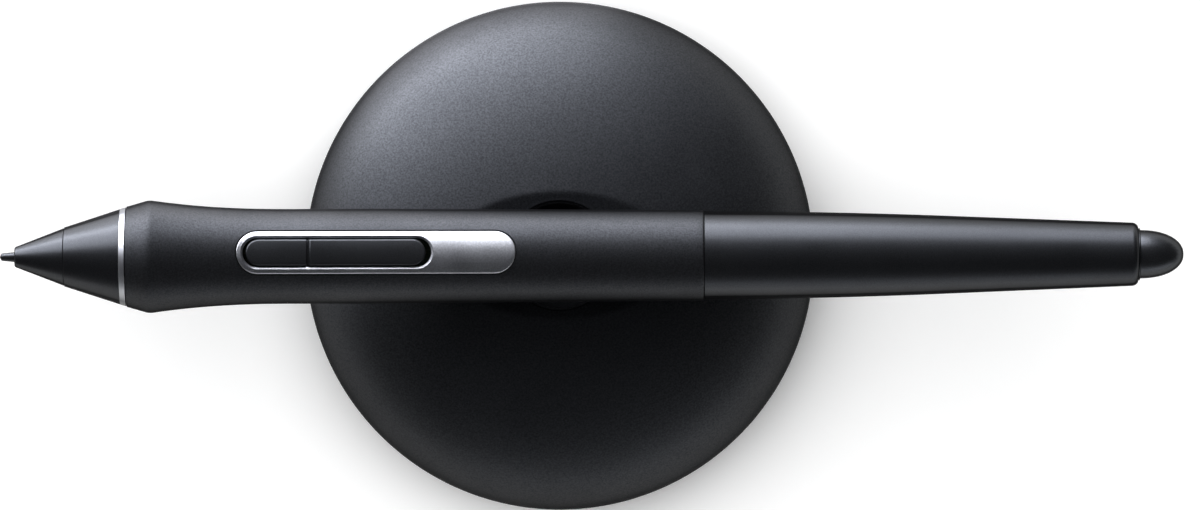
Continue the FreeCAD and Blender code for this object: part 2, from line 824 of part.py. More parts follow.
def well_cup():
    """Conical cup under the well, which takes the nose of the pen when it stands upright."""
    body = new_body("well_cup")
    spun(body, [
        ("0", "cup_bottom"),
        ("foot_neck_radius", "cup_bottom"),
        ("foot_neck_radius", "cup_seat_height"),
        ("head_neck_radius", "head_bottom"),
        ("cup_head_radius", "head_bottom"),
        ("cup_head_radius", "cup_top"),
        ("cup_mouth_radius", "cup_top"),
        ("cup_seat_radius", "cup_seat_height"),
        ("0", "cup_seat_height"),
    ])
    return body


def dome(body):
    """Half of the stand's outer form: a quarter ellipse from the belt up to the axis, an arc from
    the belt in to the rim, and the plane of the rim."""
    sketch = attach(body, "Dome", "XZ_Plane")
    corners = [("stand_radius", "belt_height"), ("rim_radius", "rim_height"), ("0", "rim_height"),
               ("0", "crown_height")]
    belt, rim, low, top = [V(value(across), value(up), 0) for across, up in corners]
    crown = Part.Ellipse(V(0, belt.y, 0), value("stand_radius"), value("crown_rise"))
    belt_arc, belt_ends = arc_through(belt, rim, arc_centre(belt, rim, "DistanceY", belt.y))
    sketch.addGeometry(Part.ArcOfEllipse(crown, 0, math.pi / 2))
    sketch.addGeometry(belt_arc)
    sketch.addGeometry(Part.LineSegment(rim, low))
    sketch.addGeometry(Part.LineSegment(low, top))
    sketch.exposeInternalGeometry(0)
    # Geometry 0 is the ellipse, 1 the belt, 2 and 3 the lines, and 4 the ellipse's long axis
    sketch.addConstraint(Sketcher.Constraint("Horizontal", 4))
    sketch.addConstraint(Sketcher.Constraint("Coincident", 0, 1, 1, belt_ends[0]))
    sketch.addConstraint(Sketcher.Constraint("Coincident", 1, belt_ends[1], 2, 1))
    sketch.addConstraint(Sketcher.Constraint("Coincident", 2, 2, 3, 1))
    sketch.addConstraint(Sketcher.Constraint("Coincident", 3, 2, 0, 2))
    drive(sketch, "centre_across", "DistanceX", -1, 1, 0, 3, to="0")
    drive(sketch, "centre_up", "DistanceY", -1, 1, 0, 3, to="belt_height")
    drive(sketch, "belt_centre_up", "DistanceY", -1, 1, 1, 3, to="belt_height")
    heads = [(1, belt_ends[0]), (2, 1), (3, 1), (0, 2)]
    for i, (head, (across, up)) in enumerate(zip(heads, corners)):
        drive(sketch, f"across_{i}", "DistanceX", -1, 1, *head, to=across)
        drive(sketch, f"up_{i}", "DistanceY", -1, 1, *head, to=up)
    return sketch


def stand_shell():
    """Pebble-shaped shell: an elliptical crown over a rounded belt, hollow from below, with the
    pen's trough across the crown, the well, its collar, and the lugs of the quick-turn lock."""
    body = new_body("stand_shell")
    revolve(body, dome(body), "V_Axis")
    cavity = outline(body, "Cavity", "XZ_Plane", [
        ("0", "rim_height"),
        ("shell_bore", "rim_height"),
        ("shell_bore", "belt_height"),
        ("cavity_flat", "ceiling"),
        ("0", "ceiling"),
    ], {2: ("Radius", "cavity_arc_radius")})
    revolve(body, cavity, "V_Axis", "PartDesign::Groove")
    collar = rectangle(body, "Collar", "XZ_Plane", "well_radius", "collar_bottom",
                       "collar_radius", "ceiling + 0.25 * crown_wall")
    revolve(body, collar, "V_Axis")
    trough = circle(body, "Trough", "YZ_Plane", "0", "trough_centre", "trough_radius")
    pocket(body, trough, both=True)
    lip = value("trough_floor")
    dress(body, "PartDesign::Fillet", "TroughLip",
          lambda p: p.z > lip and math.hypot(p.x, p.y) > value("well_radius"), "trough_lip_round")
    well = circle(body, "Well", "XY_Plane", "0", "0", "well_radius")
    pocket(body, well, reverse=True)
    seat = rectangle(body, "CupSeat", "XZ_Plane", "0", "collar_bottom - seat_gap", "collar_bore",
                     "well_bottom")
    revolve(body, seat, "V_Axis", "PartDesign::Groove")
    dress(body, "PartDesign::Fillet", "WellEdge",
          lambda p: near(math.hypot(p.x, p.y), "well_radius") and near(p.z, "trough_floor", 1.0),
          "well_edge_round")
    lug = rectangle(body, "Lug", "XZ_Plane", "lug_inner_radius", "lug_bottom",
                    "shell_bore + lug_clearance", "lug_bottom + lug_height")
    lug.AttachmentOffset = FreeCAD.Placement(V(0, 0, 0),
                                             FreeCAD.Rotation(V(0, 1, 0), value("lug_start_angle")))
    lug.setExpression("AttachmentOffset.Rotation.Angle", with_sheet("lug_start_angle"))
    doc.recompute()
    polar(body, helical(body, lug, "lug_rise"), LOCK_STARTS)
    return body


def nib():
    """The pen's own nib."""
    body = new_pen_body("nib")
    nib_profile(body)
    return body


def nose_tip():
    """Front of the nose: a cone with a round shoulder at the nib and a spigot behind."""
    body = new_pen_body("nose_tip")
    bore = "nib_radius + nib_clearance"
    turned(body, [
        ("nib_projection", bore),
        ("cone_start + tip_spigot_length", bore),
        ("cone_start + tip_spigot_length", "tip_spigot_radius"),
        ("cone_start", "tip_spigot_radius"),
        ("cone_start", "nose_tip_radius"),
        ("nib_projection", "tip_face_radius"),
    ])
    dress(body, "PartDesign::Fillet", "TipRound",
          lambda p: near(p.x, "nib_projection") and near(radius_of(p), "tip_face_radius"),
          "tip_face_round")
    return body


def nose_cone():
    """Rear of the nose: a wider cone whose threaded spigot screws into the front tube."""
    body = new_pen_body("nose_cone")
    counterbore = "tip_spigot_radius + socket_clearance"
    turned(body, [
        ("cone_start", counterbore),
        ("cone_start + tip_spigot_length + seat_gap", counterbore),
        ("cone_start + tip_spigot_length + seat_gap", "spigot_bore"),
        ("spigot_end", "spigot_bore"),
        ("spigot_end", "spigot_radius"),
        ("ring_start", "spigot_radius"),
        ("ring_start", "nose_cone_radius"),
        ("cone_start", "cone_front_radius"),
    ])
    return body


def accent_ring():
    """Bright ring that is held between the nose and the grip."""
    body = new_pen_body("accent_ring")
    turned(body, [
        ("ring_start", "ring_bore_radius"),
        ("ring_start + ring_width", "ring_bore_radius"),
        ("ring_start + ring_width", "ring_radius"),
        ("ring_start", "nose_cone_radius"),
    ])
    return body


def grip_sleeve():
    """Rubber grip: flared and rounded at the front, drawn in to a waist, straight behind it,
    with an opening for the switch plate."""
    body = new_pen_body("grip_sleeve")
    turned(body, [
        ("grip_start", "tube_radius"),
        ("joint_station", "tube_radius"),
        ("joint_station", "grip_rear_radius - grip_end_bevel"),
        ("joint_station - grip_end_bevel", "grip_rear_radius"),
        ("straight_end", "grip_waist_radius"),
        ("straight_start", "grip_waist_radius"),
        ("grip_start + grip_neck_setback", "grip_neck_radius"),
        ("grip_start + grip_shoulder_setback", "grip_shoulder_radius"),
        ("grip_start + grip_peak_setback", "grip_peak_radius"),
        ("grip_start", "grip_front_radius"),
    ], {5: ("DistanceX", "straight_start"), 6: ("Hollow", "grip_blend_radius")})
    dress(body, "PartDesign::Fillet", "PeakRound",
          lambda p: near(radius_of(p), "grip_peak_radius"), "grip_peak_round")
    pocket(body, capsule(body, "PlateOpening", "bezel_start", "bezel_length", "bezel_width",
                         "bezel_gap"), reverse=True)
    return body


def front_tube():
    """Hard tube under the grip, which carries the nose's thread and the switch plate."""
    body = new_pen_body("front_tube")
    turned(body, [
        ("tube_start", "tube_bore"),
        ("tube_end", "tube_bore"),
        ("tube_end", "tube_radius"),
        ("tube_start", "tube_radius"),
    ])
    pocket(body, capsule(body, "SwitchWindow", "window_start", "window_length",
                         "tube_window_width"), reverse=True)
    return body


def chassis():
    """Inner carrier: the coil former in front, a tube with an open bed for the board and a
    narrow tail into the rear barrel."""
    body = new_pen_body("chassis")
    turned(body, [
        ("former_start", "former_bore"),
        ("former_end", "former_bore"),
        ("former_end", "chassis_bore"),
        ("chassis_end - chassis_step", "chassis_bore"),
        ("chassis_end - chassis_step", "chassis_tail_bore"),
        ("tail_end", "chassis_tail_bore"),
        ("tail_end", "chassis_tail_radius"),
        ("chassis_end", "chassis_tail_radius"),
        ("chassis_end", "chassis_radius"),
        ("chassis_start", "chassis_radius"),
        ("chassis_start", "former_radius"),
        ("former_start", "former_radius"),
    ])
    bed = rectangle(body, "Bed", "XY_Plane", "bed_start", "-bed_width / 2", "bed_end",
                    "bed_width / 2")
    pocket(body, bed, reverse=True)
    return body


def barrel_strip(body, proud, underside, start, end):
    """The strip of the barrel's surface that a switch piece is cut from: from its underside's
    radius to the grip's own profile, raised by proud. Its front runs up the grip's blend."""
    crest = f"grip_waist_radius + {proud}"
    corners = [
        (start, underside),
        (end, underside),
        (end, f"{crest} - rear_slope * max(0; {end} - straight_end)"),
        ("straight_start", crest),
        (start, f"{crest} + bezel_rise"),
    ]
    if value(end) > value("straight_end"):
        corners.insert(3, ("straight_end", crest))
    sketch = outline(body, "Strip", "XZ_Plane", corners)
    return revolve(body, sketch, "H_Axis", angle=100.0, centred=True)


def keep_inside(body, name, start, length, width):
    """Cuts away all of a strip outside a stadium."""
    before = body.Shape.Volume
    sketch = capsule(body, name, start, length, width)
    margin = "2 * bezel_width"
    frame = [(f"{start} - {margin}", f"-{margin}"), (f"{start} + {length} + {margin}", f"-{margin}"),
             (f"{start} + {length} + {margin}", margin), (f"{start} - {margin}", margin)]
    points = [V(value(across), value(up), 0) for across, up in frame]
    first = sketch.GeometryCount
    for i in range(4):
        sketch.addGeometry(Part.LineSegment(points[i], points[(i + 1) % 4]))
    for i, (across, up) in enumerate(frame):
        after = first + (i + 1) % 4
        sketch.addConstraint(Sketcher.Constraint("Coincident", first + i, 2, after, 1))
        drive(sketch, f"frame_across_{i}", "DistanceX", -1, 1, first + i, 1, to=across)
        drive(sketch, f"frame_up_{i}", "DistanceY", -1, 1, first + i, 1, to=up)
    pocket(body, sketch, reverse=True)
    if body.Shape.Volume > before * 0.9:
        raise RuntimeError(f"{body.Label}: {name} keeps too much")


def bevel_top(body, name, size):
    """A bevel round every upper edge of a switch piece, inside and outside."""
    dress(body, "PartDesign::Chamfer", name,
          lambda p: radius_of(p) > value("grip_waist_radius - grip_end_bevel") and p.z > 0, size)


def switch_bezel():
    """Satin metal plate round the side switch: it follows the barrel, bevelled all round, with a
    window for the rocker and two ears underneath that hold the rocker's pin."""
    body = new_pen_body("switch_bezel")
    barrel_strip(body, "bezel_proud", "tube_radius + socket_clearance", "bezel_start",
                 "bezel_start + bezel_length")
    keep_inside(body, "PlateOutline", "bezel_start", "bezel_length", "bezel_width")
    window = capsule(body, "Window", "window_start", "window_length", "window_width")
    pocket(body, window, reverse=True)
    bevel_top(body, "PlateBevel", "bezel_bevel")
    ears = rectangle(body, "Ears", "XZ_Plane", "pivot_station - ear_length / 2",
                     "pin_height - boss_radius", "pivot_station + ear_length / 2", "tube_radius")
    pad(body, ears, "ear_width", both=True)
    between = capsule(body, "BetweenEars", "window_start", "window_length", "window_width")
    pocket(body, between, reverse=True)
    bore = circle(body, "PinBore", "XZ_Plane", "pivot_station", "pin_height", "pin_radius")
    pocket(body, bore, both=True)
    return body


def side_switch_rocker():
    """Two-way switch: one crowned key with round ends, bevelled all round, a narrow cross notch
    over its pivot, a boss for the pin and a plunger over each contact."""
    body = new_pen_body("side_switch_rocker")
    barrel_strip(body, "rocker_proud", "rocker_underside", "rocker_start",
                 "rocker_start + rocker_length")
    keep_inside(body, "KeyOutline", "rocker_start", "rocker_length", "rocker_width")
    bevel_top(body, "KeyBevel", "rocker_bevel")
    boss = circle(body, "Boss", "XZ_Plane", "pivot_station", "pin_height", "boss_radius")
    pad(body, boss, "boss_width", both=True)
    web = rectangle(body, "Web", "XZ_Plane", "pivot_station - boss_radius", "pin_height",
                    "pivot_station + boss_radius", "plunger_top")
    pad(body, web, "boss_width", both=True)
    for name, station in (("FrontPlunger", "tact_front"), ("RearPlunger", "tact_rear")):
        plunger = rectangle(body, name, "XZ_Plane", f"{station} - tact_button_radius",
                            "plunger_bottom", f"{station} + tact_button_radius", "plunger_top")
        pad(body, plunger, "2 * tact_button_radius", both=True)
    bore = circle(body, "PinBore", "XZ_Plane", "pivot_station", "pin_height",
                  "pin_radius + pin_clearance")
    pocket(body, bore, both=True)
    crest = "grip_waist_radius + rocker_proud"
    notch = outline(body, "Notch", "XZ_Plane", [
        ("pivot_station", f"{crest} - notch_depth"),
        ("pivot_station + notch_width", f"{crest} + notch_depth"),
        ("pivot_station - notch_width", f"{crest} + notch_depth"),
    ])
    pocket(body, notch, both=True)
    return body


def rocker_pin():
    """Steel pin through the bezel's ears and the rocker's boss."""
    body = new_pen_body("rocker_pin")
    pin = circle(body, "Pin", "XZ_Plane", "pivot_station", "pin_height", "pin_radius")
    pad(body, pin, "pin_length", both=True)
    return body


def block(label, start, length, width, bottom, height):
    """A small board-mounted piece, centred on the pen's axis."""
    body = new_pen_body(label)
    sketch = rectangle(body, "Side", "XZ_Plane", start, bottom, f"{start} + {length}",
                       f"{bottom} + {height}")
    pad(body, sketch, width, both=True)
    return body


def tact_switch(label, station):
    """Dome contact under one end of the rocker: a square body with a round button."""
    body = block(label, f"{station} - tact_length / 2", "tact_length", "tact_width", "board_top",
                 "tact_height")
    button = circle(body, "Button", "XY_Plane", station, "0", "tact_button_radius")
    pad(body, button, "tact_top + tact_button_height")
    # The button's cylinder below the case is taken away again
    below = rectangle(body, "Below", "XZ_Plane", f"{station} - tact_length", "-board_top",
                      f"{station} + tact_length", "board_top")
    pocket(body, below, both=True)
    return body


def tuning_capacitors():
    """Row of small capacitors that tune the coil, as one node of separate solids."""
    first = block("capacitor_pattern", "capacitor_start", "capacitor_length", "capacitor_width",
                  "board_top", "capacitor_height")
    step = value("capacitor_pitch")
    spots = [FreeCAD.Placement(V(step * i, 0, 0), FreeCAD.Rotation()) for i in range(CAPACITORS)]
    group = copies("tuning_capacitors", first, spots)
    doc.removeObject(first.Name)
    return group


def tube(label, start, end, bore, radius):
    """A plain ring or tube along the pen's axis."""
    body = new_pen_body(label)
    turned(body, [(start, bore), (end, bore), (end, radius), (start, radius)])
    return body


def nib_holder():
    """Carrier that grips the back of the nib and passes its push to the sensor."""
    body = new_pen_body("nib_holder")
    socket = "nib_radius + socket_clearance"
    turned(body, [
        ("holder_start", socket),
        ("holder_start + socket_depth", socket),
        ("holder_start + socket_depth", "0"),
        ("holder_end", "0"),
        ("holder_end", "holder_neck_radius"),
        ("holder_start + socket_depth", "holder_radius"),
        ("holder_start", "holder_radius"),
    ])
    return body


def rear_barrel():
    """Hard rear barrel: a spigot inside the front tube, a gently tapering body and a round end
    with a lip about the eraser."""
    body = new_pen_body("rear_barrel")
    lip = "eraser_radius + eraser_clearance"
    turned(body, [
        ("rear_spigot_start", "barrel_bore"),
        ("barrel_end - barrel_bore_taper", "barrel_bore"),
        ("barrel_end - 2 * barrel_lip", "barrel_bore_end"),
        ("barrel_end - barrel_lip", lip),
        ("barrel_end", lip),
        ("barrel_end", "barrel_end_radius"),
        ("barrel_middle", "barrel_middle_radius"),
        ("barrel_shoulder", "barrel_shoulder_radius"),
        ("joint_station", "barrel_front_radius"),
        ("joint_station", "rear_spigot_radius"),
        ("rear_spigot_start", "rear_spigot_radius"),
    ])
    dress(body, "PartDesign::Fillet", "EndRound",
          lambda p: near(p.x, "barrel_end") and near(radius_of(p), "barrel_end_radius"),
          f"min(barrel_end_round; barrel_end_radius - ({lip}) - fit_clearance)")
    return body


def eraser_cap():
    """Soft-edged eraser: a plug in the barrel's end with a half-egg dome outside."""
    body = new_pen_body("eraser_cap")
    turned(body, [
        ("cap_start", "stem_radius"),
        ("stem_end", "stem_radius"),
        ("stem_end", "0"),
        ("eraser_end", "0"),
        ("barrel_end + eraser_shoulder", "eraser_shoulder_radius"),
        ("barrel_end", "eraser_radius"),
        ("cap_start", "eraser_radius"),
    ], {3: ("DistanceY", "0"), 4: ("DistanceX", "barrel_end")})
    return body


def write_part(piece):
    """Checks one sub-part and writes its file."""
    shape = piece.Shape
    if shape.isNull() or not shape.isValid():
        raise RuntimeError(f"{piece.Label}: bad shape")
    shape.exportStep(os.path.join("parts", piece.Label + ".step"))


def build():
    """All sub-parts, stand first."""
    nib_pattern = spare_nib()
    screw_pattern = base_screw()
    slots = [step for half in range(2) for step in
             range(half * TRAY_PLACES // 2, half * TRAY_PLACES // 2 + SLOTS_PER_SIDE)]
    screw_spots = [tray_spot(0.5 + i * TRAY_PLACES / SCREWS, value("screw_circle"), 0)
                   for i in range(SCREWS)]
    pieces = [
        foot_pad(), base_pan(), ballast_ring(), nib_tray(), nib_extractor(),
        copies("base_screws", screw_pattern, screw_spots),
        spare_nibs("spare_nibs_standard", nib_pattern, slots[:STANDARD_NIBS]),
        spare_nibs("spare_nibs_felt", nib_pattern, slots[STANDARD_NIBS:]),
        well_cup(), stand_shell(),
    ]
    for pattern in (nib_pattern, screw_pattern):
        doc.removeObject(pattern.Name)
    pieces += [
        nib(), nib_holder(), nose_tip(), nose_cone(), accent_ring(), grip_sleeve(), front_tube(),
        chassis(), switch_bezel(), side_switch_rocker(), rocker_pin(),
        block("circuit_board", "board_start", "board_end - board_start", "board_width",
              "board_height", "board_thickness"),
        block("controller_chip", "chip_start", "chip_length", "chip_width", "board_top",
              "chip_height"),
        tuning_capacitors(),
        tact_switch("tact_switch_front", "tact_front"),
        tact_switch("tact_switch_rear", "tact_rear"),
        tube("tip_ferrite", "ferrite_start", "ferrite_end", "ferrite_bore", "ferrite_radius"),
        tube("tip_coil", "ferrite_start + coil_clearance", "ferrite_end - coil_margin",
             "ferrite_radius + coil_clearance", "coil_radius"),
        tube("nib_return_pad", "holder_end", "sensor_start", "0", "pad_radius"),
        tube("tip_sensor", "sensor_start", "sensor_end", "0", "coil_radius"),
        rear_barrel(), eraser_cap(),
        tube("eraser_stem", "stem_start", "stem_end", "0", "stem_radius"),
        tube("eraser_ferrite", "eraser_coil_middle - eraser_ferrite_length / 2",
             "eraser_coil_middle + eraser_ferrite_length / 2", "stem_radius + seat_gap",
             "ferrite_radius"),
        tube("eraser_coil", "eraser_coil_middle - eraser_coil_length / 2",
             "eraser_coil_middle + eraser_coil_length / 2", "ferrite_radius + coil_clearance",
             "eraser_sensor_radius"),
        tube("eraser_housing", "housing_start", "housing_end", "housing_bore", "housing_radius"),
        tube("eraser_return_pad", "eraser_sensor_end", "stem_start", "0", "pad_radius"),
        tube("eraser_sensor", "eraser_sensor_start", "eraser_sensor_end", "0",
             "eraser_sensor_radius"),
    ]
    return pieces


pieces = build()
doc.recompute()
failed = [item.Name for item in doc.Objects if {"Invalid", "Error"} & set(item.State)]
if failed:
    raise RuntimeError("failed: " + ", ".join(failed))
os.makedirs("parts", exist_ok=True)
for piece in pieces:
    write_part(piece)
print(len(pieces), "pieces written")
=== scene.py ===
import math

import bmesh
import bpy
from mathutils import Matrix, Vector


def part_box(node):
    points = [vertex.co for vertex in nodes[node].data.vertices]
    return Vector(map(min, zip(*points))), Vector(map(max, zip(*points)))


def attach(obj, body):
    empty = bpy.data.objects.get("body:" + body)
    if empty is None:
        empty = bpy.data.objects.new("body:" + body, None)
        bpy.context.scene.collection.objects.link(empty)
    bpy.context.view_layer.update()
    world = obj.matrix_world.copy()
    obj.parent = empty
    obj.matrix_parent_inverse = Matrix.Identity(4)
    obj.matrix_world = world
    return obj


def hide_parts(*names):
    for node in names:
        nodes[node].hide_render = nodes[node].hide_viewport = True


# A stylus pen with a side switch and an eraser, lying across a pebble-shaped pen stand. The
# outer pieces stand in for their CAD nodes; the inner ones are the nodes, with materials.
# Lengths are in millimetres up to the floor's section, and MM turns them into metres.
MM = 0.001
TAU = 2 * math.pi

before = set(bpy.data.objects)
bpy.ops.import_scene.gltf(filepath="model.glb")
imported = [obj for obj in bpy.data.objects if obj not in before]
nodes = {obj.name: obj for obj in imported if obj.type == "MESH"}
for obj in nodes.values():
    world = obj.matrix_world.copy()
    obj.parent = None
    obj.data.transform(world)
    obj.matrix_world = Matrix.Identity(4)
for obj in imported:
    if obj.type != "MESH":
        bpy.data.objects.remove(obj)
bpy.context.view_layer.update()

# Stand, outer form
STAND_RADIUS = 34.2
BELT_HEIGHT = 8.5
CROWN_RISE = 16.5
RIM_RADIUS = 31.2
RIM_HEIGHT = 2.2
TROUGH_DEPTH = 1.74
TROUGH_RADIUS = 29.3
TROUGH_BLEND = 0.13
TROUGH_FLOOR = BELT_HEIGHT + CROWN_RISE - TROUGH_DEPTH
WELL_RADIUS = 7.27
WELL_EDGE_ROUND = 0.25
WELL_DEPTH = 3.3

# Pen, stations measured back from the nib's point
PEN_ROLL = math.radians(5.0)
NIB_END = 19.0
NIB_RADIUS = 0.7
TIP_START = 1.97
TIP_BORE = 0.9
TIP_FRONT_RADIUS = 1.3
TIP_REAR_RADIUS = 3.84
TIP_SPIGOT_END = 10.13
TIP_SPIGOT_RADIUS = 2.9
CONE_START = 8.55
CONE_FRONT_RADIUS = 3.91
CONE_REAR_RADIUS = 6.33
CONE_SOCKET_END = 10.33
CONE_SOCKET_RADIUS = 2.92
CONE_BORE = 3.9
CONE_SPIGOT_END = 19.97
CONE_SPIGOT_RADIUS = 4.6
RING_START = 15.98
RING_END = 16.76
RING_BORE = 4.65
RING_FRONT_RADIUS = 6.36
RING_REAR_RADIUS = 6.57

# Pen, grip: a flare, a crest, a hollow, a straight part and a slow taper
GRIP_START = 16.86
GRIP_FRONT_RADIUS = 6.656
FLARE_SLOPE = 0.288
CREST_STATION = 19.9
CREST_RADIUS = 7.5
CREST_BLEND = 0.22
HOLLOW_POWER = 2.25
HOLLOW_MIDDLE = 30.0
STRAIGHT_START = 38.4
STRAIGHT_END = 50.0
GRIP_WAIST_RADIUS = 6.29
GRIP_REAR_RADIUS = 6.0
GRIP_REAR_ROUND = 0.25
JOINT_STATION = 93.4
TUBE_RADIUS = 5.45

# Pen, rear barrel: a nearly straight part that bends into a taper, and a rounded end. Its
# edge and the start of its curve are measured back from the joint.
BARREL_RADIUS = 5.87
BARREL_SLOPE = 0.01
TAPER_RADIUS = BARREL_RADIUS + 0.573
TAPER_SLOPE = 0.0395
TAPER_BLEND = 0.36
BARREL_EDGE = 0.07
BARREL_CURVE_START = 0.2
BARREL_MOUTH = 3.36
BARREL_END = 151.2
END_ROUND_START = BARREL_END - 1.1
END_ROUND_LENGTH = 0.86
END_ROUND_DEPTH = 0.68
# (back from the end, out from the mouth's radius): a groove, and the bead behind it
BARREL_BEAD = [(0.22, 0.02), (0.12, 0.02), (0.11, 0.14), (0.04, 0.1), (0, 0)]
# (station, radius) from the mouth forwards: the bore, and the sleeve that goes into the grip
BARREL_INSIDE = [(149.5, BARREL_MOUTH), (147.9, 3.5), (113.1, 4.2), (83.8, 4.2), (83.8, 4.7),
                 (JOINT_STATION, 4.7)]
ERASER_END = 157.0
ERASER_RADIUS = 3.21
ERASER_FULLNESS = 0.93
ERASER_PLUG_START = 146.6
ERASER_SOCKET_END = 148.6
ERASER_SOCKET_RADIUS = 1.0

# Side switch
PLATE_START = 31.58
PLATE_LENGTH = 36.87
PLATE_WIDTH = 5.6
PLATE_PROUD = 0.15
PLATE_BEVEL = 0.11
PLATE_GAP = 0.2
PLATE_BOTTOM_RADIUS = TUBE_RADIUS + 0.02
CUTTER_HEIGHTS = (3.0, 9.0)
WINDOW_START = 32.1
WINDOW_LENGTH = 25.5
WINDOW_WIDTH = 4.42
WINDOW_CHAMFER = 0.28
KEY_START = 32.8
KEY_LENGTH = 23.75
KEY_WIDTH = 3.5
KEY_TOP = 6.43
KEY_CROWN_RADIUS = 7.6
KEY_EDGE = 0.24
KEY_UNDERSIDE = 4.9
MERGE_DISTANCE = 0.002
PIVOT_STATION = 41.02
# The groove over the key's pivot, as (offset along the key, drop): a slot and a fine step
KEY_GROOVE = ((-0.22, 0), (-0.16, 0.4), (-0.02, 0.4), (0.02, 0.15), (0.15, 0.02), (0.19, 0.1),
              (0.24, 0.1), (0.34, 0))

# Where the pen lies, read from its own CAD pieces
nib_low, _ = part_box("nib")
ring_low, ring_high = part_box("accent_ring")
PEN_ORIGIN = Vector((nib_low.x, 0, (ring_low.z + ring_high.z) / 2))
PEN_PLACE = Matrix.Translation(PEN_ORIGIN) @ Matrix.Rotation(-PEN_ROLL, 4, "X")

# How finely the meshes are made, and from which angle on an edge stays sharp
SKIN_SEGMENTS = 384
GRIP_SEGMENTS = 256
PEN_SEGMENTS = 192
ARC_STEPS = 8
CAP_STEPS = 32
SIDE_STEPS = 64
SHARP_DEGREES = 35
PLATE_SHARP_DEGREES = 30
KEY_SHARP_DEGREES = 60


def new_object(name, vertices, faces, place=None, sharp_degrees=SHARP_DEGREES):
    """A mesh object from points in millimetres, smooth but for edges sharper than the angle."""
    mesh = bpy.data.meshes.new(name)
    mesh.from_pydata([Vector(point) * MM for point in vertices], [], faces)
    if place is not None:
        mesh.transform(place)
    work = bmesh.new()
    work.from_mesh(mesh)
    bmesh.ops.recalc_face_normals(work, faces=work.faces)
    work.to_mesh(mesh)
    work.free()
    finish_shading(mesh, sharp_degrees)
    piece = bpy.data.objects.new(name, mesh)
    bpy.context.scene.collection.objects.link(piece)
    return piece


def finish_shading(mesh, sharp_degrees=SHARP_DEGREES):
    """Smooth shading, with the sharp corners kept."""
    mesh.shade_smooth()
    mesh.set_sharp_from_angle(angle=math.radians(sharp_degrees))


def rounded(corners):
    """A closed outline from corners (across, up, rounding). Each rounded corner becomes an arc,
    and points close to the arc's ends keep its shading off the straight sides."""
    count = len(corners)
    outline = []
    for i, (across, up, size) in enumerate(corners):
        here = Vector((across, up))
        before = Vector(corners[i - 1][:2]) - here
        after = Vector(corners[(i + 1) % count][:2]) - here
        if size <= 0:
            outline.append(here)
            continue
        before_way, after_way = before.normalized(), after.normalized()
        half = before_way.angle(after_way) / 2
        reach = min(size / math.tan(half), 0.48 * before.length, 0.48 * after.length)
        radius = reach * math.tan(half)
        centre = here + (before_way + after_way).normalized() * (radius / math.sin(half))
        start = here + before_way * reach - centre
        turn = math.pi - 2 * half
        if start.cross(here + after_way * reach - centre) < 0:
            turn = -turn
        margin = min(0.25 * radius, 0.3 * (min(before.length, after.length) - reach))
        outline.append(here + before_way * (reach + margin))
        for step in range(ARC_STEPS + 1):
            angle = turn * step / ARC_STEPS
            cosine, sine = math.cos(angle), math.sin(angle)
            outline.append(centre + Vector((start.x * cosine - start.y * sine,
                                            start.x * sine + start.y * cosine)))
        outline.append(here + after_way * (reach + margin))
    return [(point.x, point.y) for point in outline]


def spun(name, outline, segments=PEN_SEGMENTS, place=None):
    """Turns a closed outline of (station, radius) about the pen's axis, which is X."""
    vertices, faces, rings = [], [], []
    for station, radius in outline:
        on_axis = abs(radius) < 1e-6
        ring = []
        for step in range(1 if on_axis else segments):
            angle = TAU * step / segments
            vertices.append((station, radius * math.sin(angle), radius * math.cos(angle)))
            ring.append(len(vertices) - 1)
        rings.append(ring)
    for i, ring in enumerate(rings):
        bridge(faces, ring, rings[(i + 1) % len(rings)])
    return new_object(name, vertices, faces, place)


def bridge(faces, ring, following):
    """Faces between two closed rings, either of which may be a single point."""
    count = max(len(ring), len(following))
    if count == 1:
        return
    for step in range(count):
        after = (step + 1) % count
        corners = [ring[step % len(ring)], ring[after % len(ring)],
                   following[after % len(following)], following[step % len(following)]]
        faces.append(list(dict.fromkeys(corners)))


def join_loops(loops):
    """Vertices, faces and rings of indices of a tube of equal closed loops of points."""
    vertices, faces, rings = [], [], []
    for loop in loops:
        rings.append(list(range(len(vertices), len(vertices) + len(loop))))
        vertices += loop
    for ring, following in zip(rings, rings[1:]):
        bridge(faces, ring, following)
    return vertices, faces, rings


# Materials

GLOSS_TINT = (0.88, 0.93, 1.0, 1)
GRAZING_BLUR = 0.2
UNEVEN_GLOSS = 0.03
HANDLED_PATCH = 9
POLISHED_PATCH = 4
WIRE_BAND = 0.7
BOARD_CELL = 1.6


def node_tree(name):
    """A new material, its node tree and the shader in it."""
    material = bpy.data.materials.new(name)
    material.use_nodes = True
    tree = material.node_tree
    shader = tree.nodes["Principled BSDF"]
    return material, tree, shader


def noise(tree, grain_mm, detail, stretch=(1, 1, 1)):
    """Noise of a given grain, in the piece's own coordinates."""
    place = tree.nodes.new("ShaderNodeTexCoord")
    mapping = tree.nodes.new("ShaderNodeMapping")
    mapping.inputs["Scale"].default_value = stretch
    texture = tree.nodes.new("ShaderNodeTexNoise")
    texture.inputs["Scale"].default_value = 1 / (grain_mm * MM)
    texture.inputs["Detail"].default_value = detail
    texture.inputs["Roughness"].default_value = 0.55
    tree.links.new(place.outputs["Object"], mapping.inputs["Vector"])
    tree.links.new(mapping.outputs["Vector"], texture.inputs["Vector"])
    return texture.outputs["Fac"]


def spread(tree, source, low, high, start=0.3, end=0.7):
    """Maps a value between start and end, where a texture mostly lies, onto low to high."""
    mapped = tree.nodes.new("ShaderNodeMapRange")
    mapped.inputs["From Min"].default_value = start
    mapped.inputs["From Max"].default_value = end
    mapped.inputs["To Min"].default_value = low
    mapped.inputs["To Max"].default_value = high
    tree.links.new(source, mapped.inputs["Value"])
    return mapped.outputs["Result"]


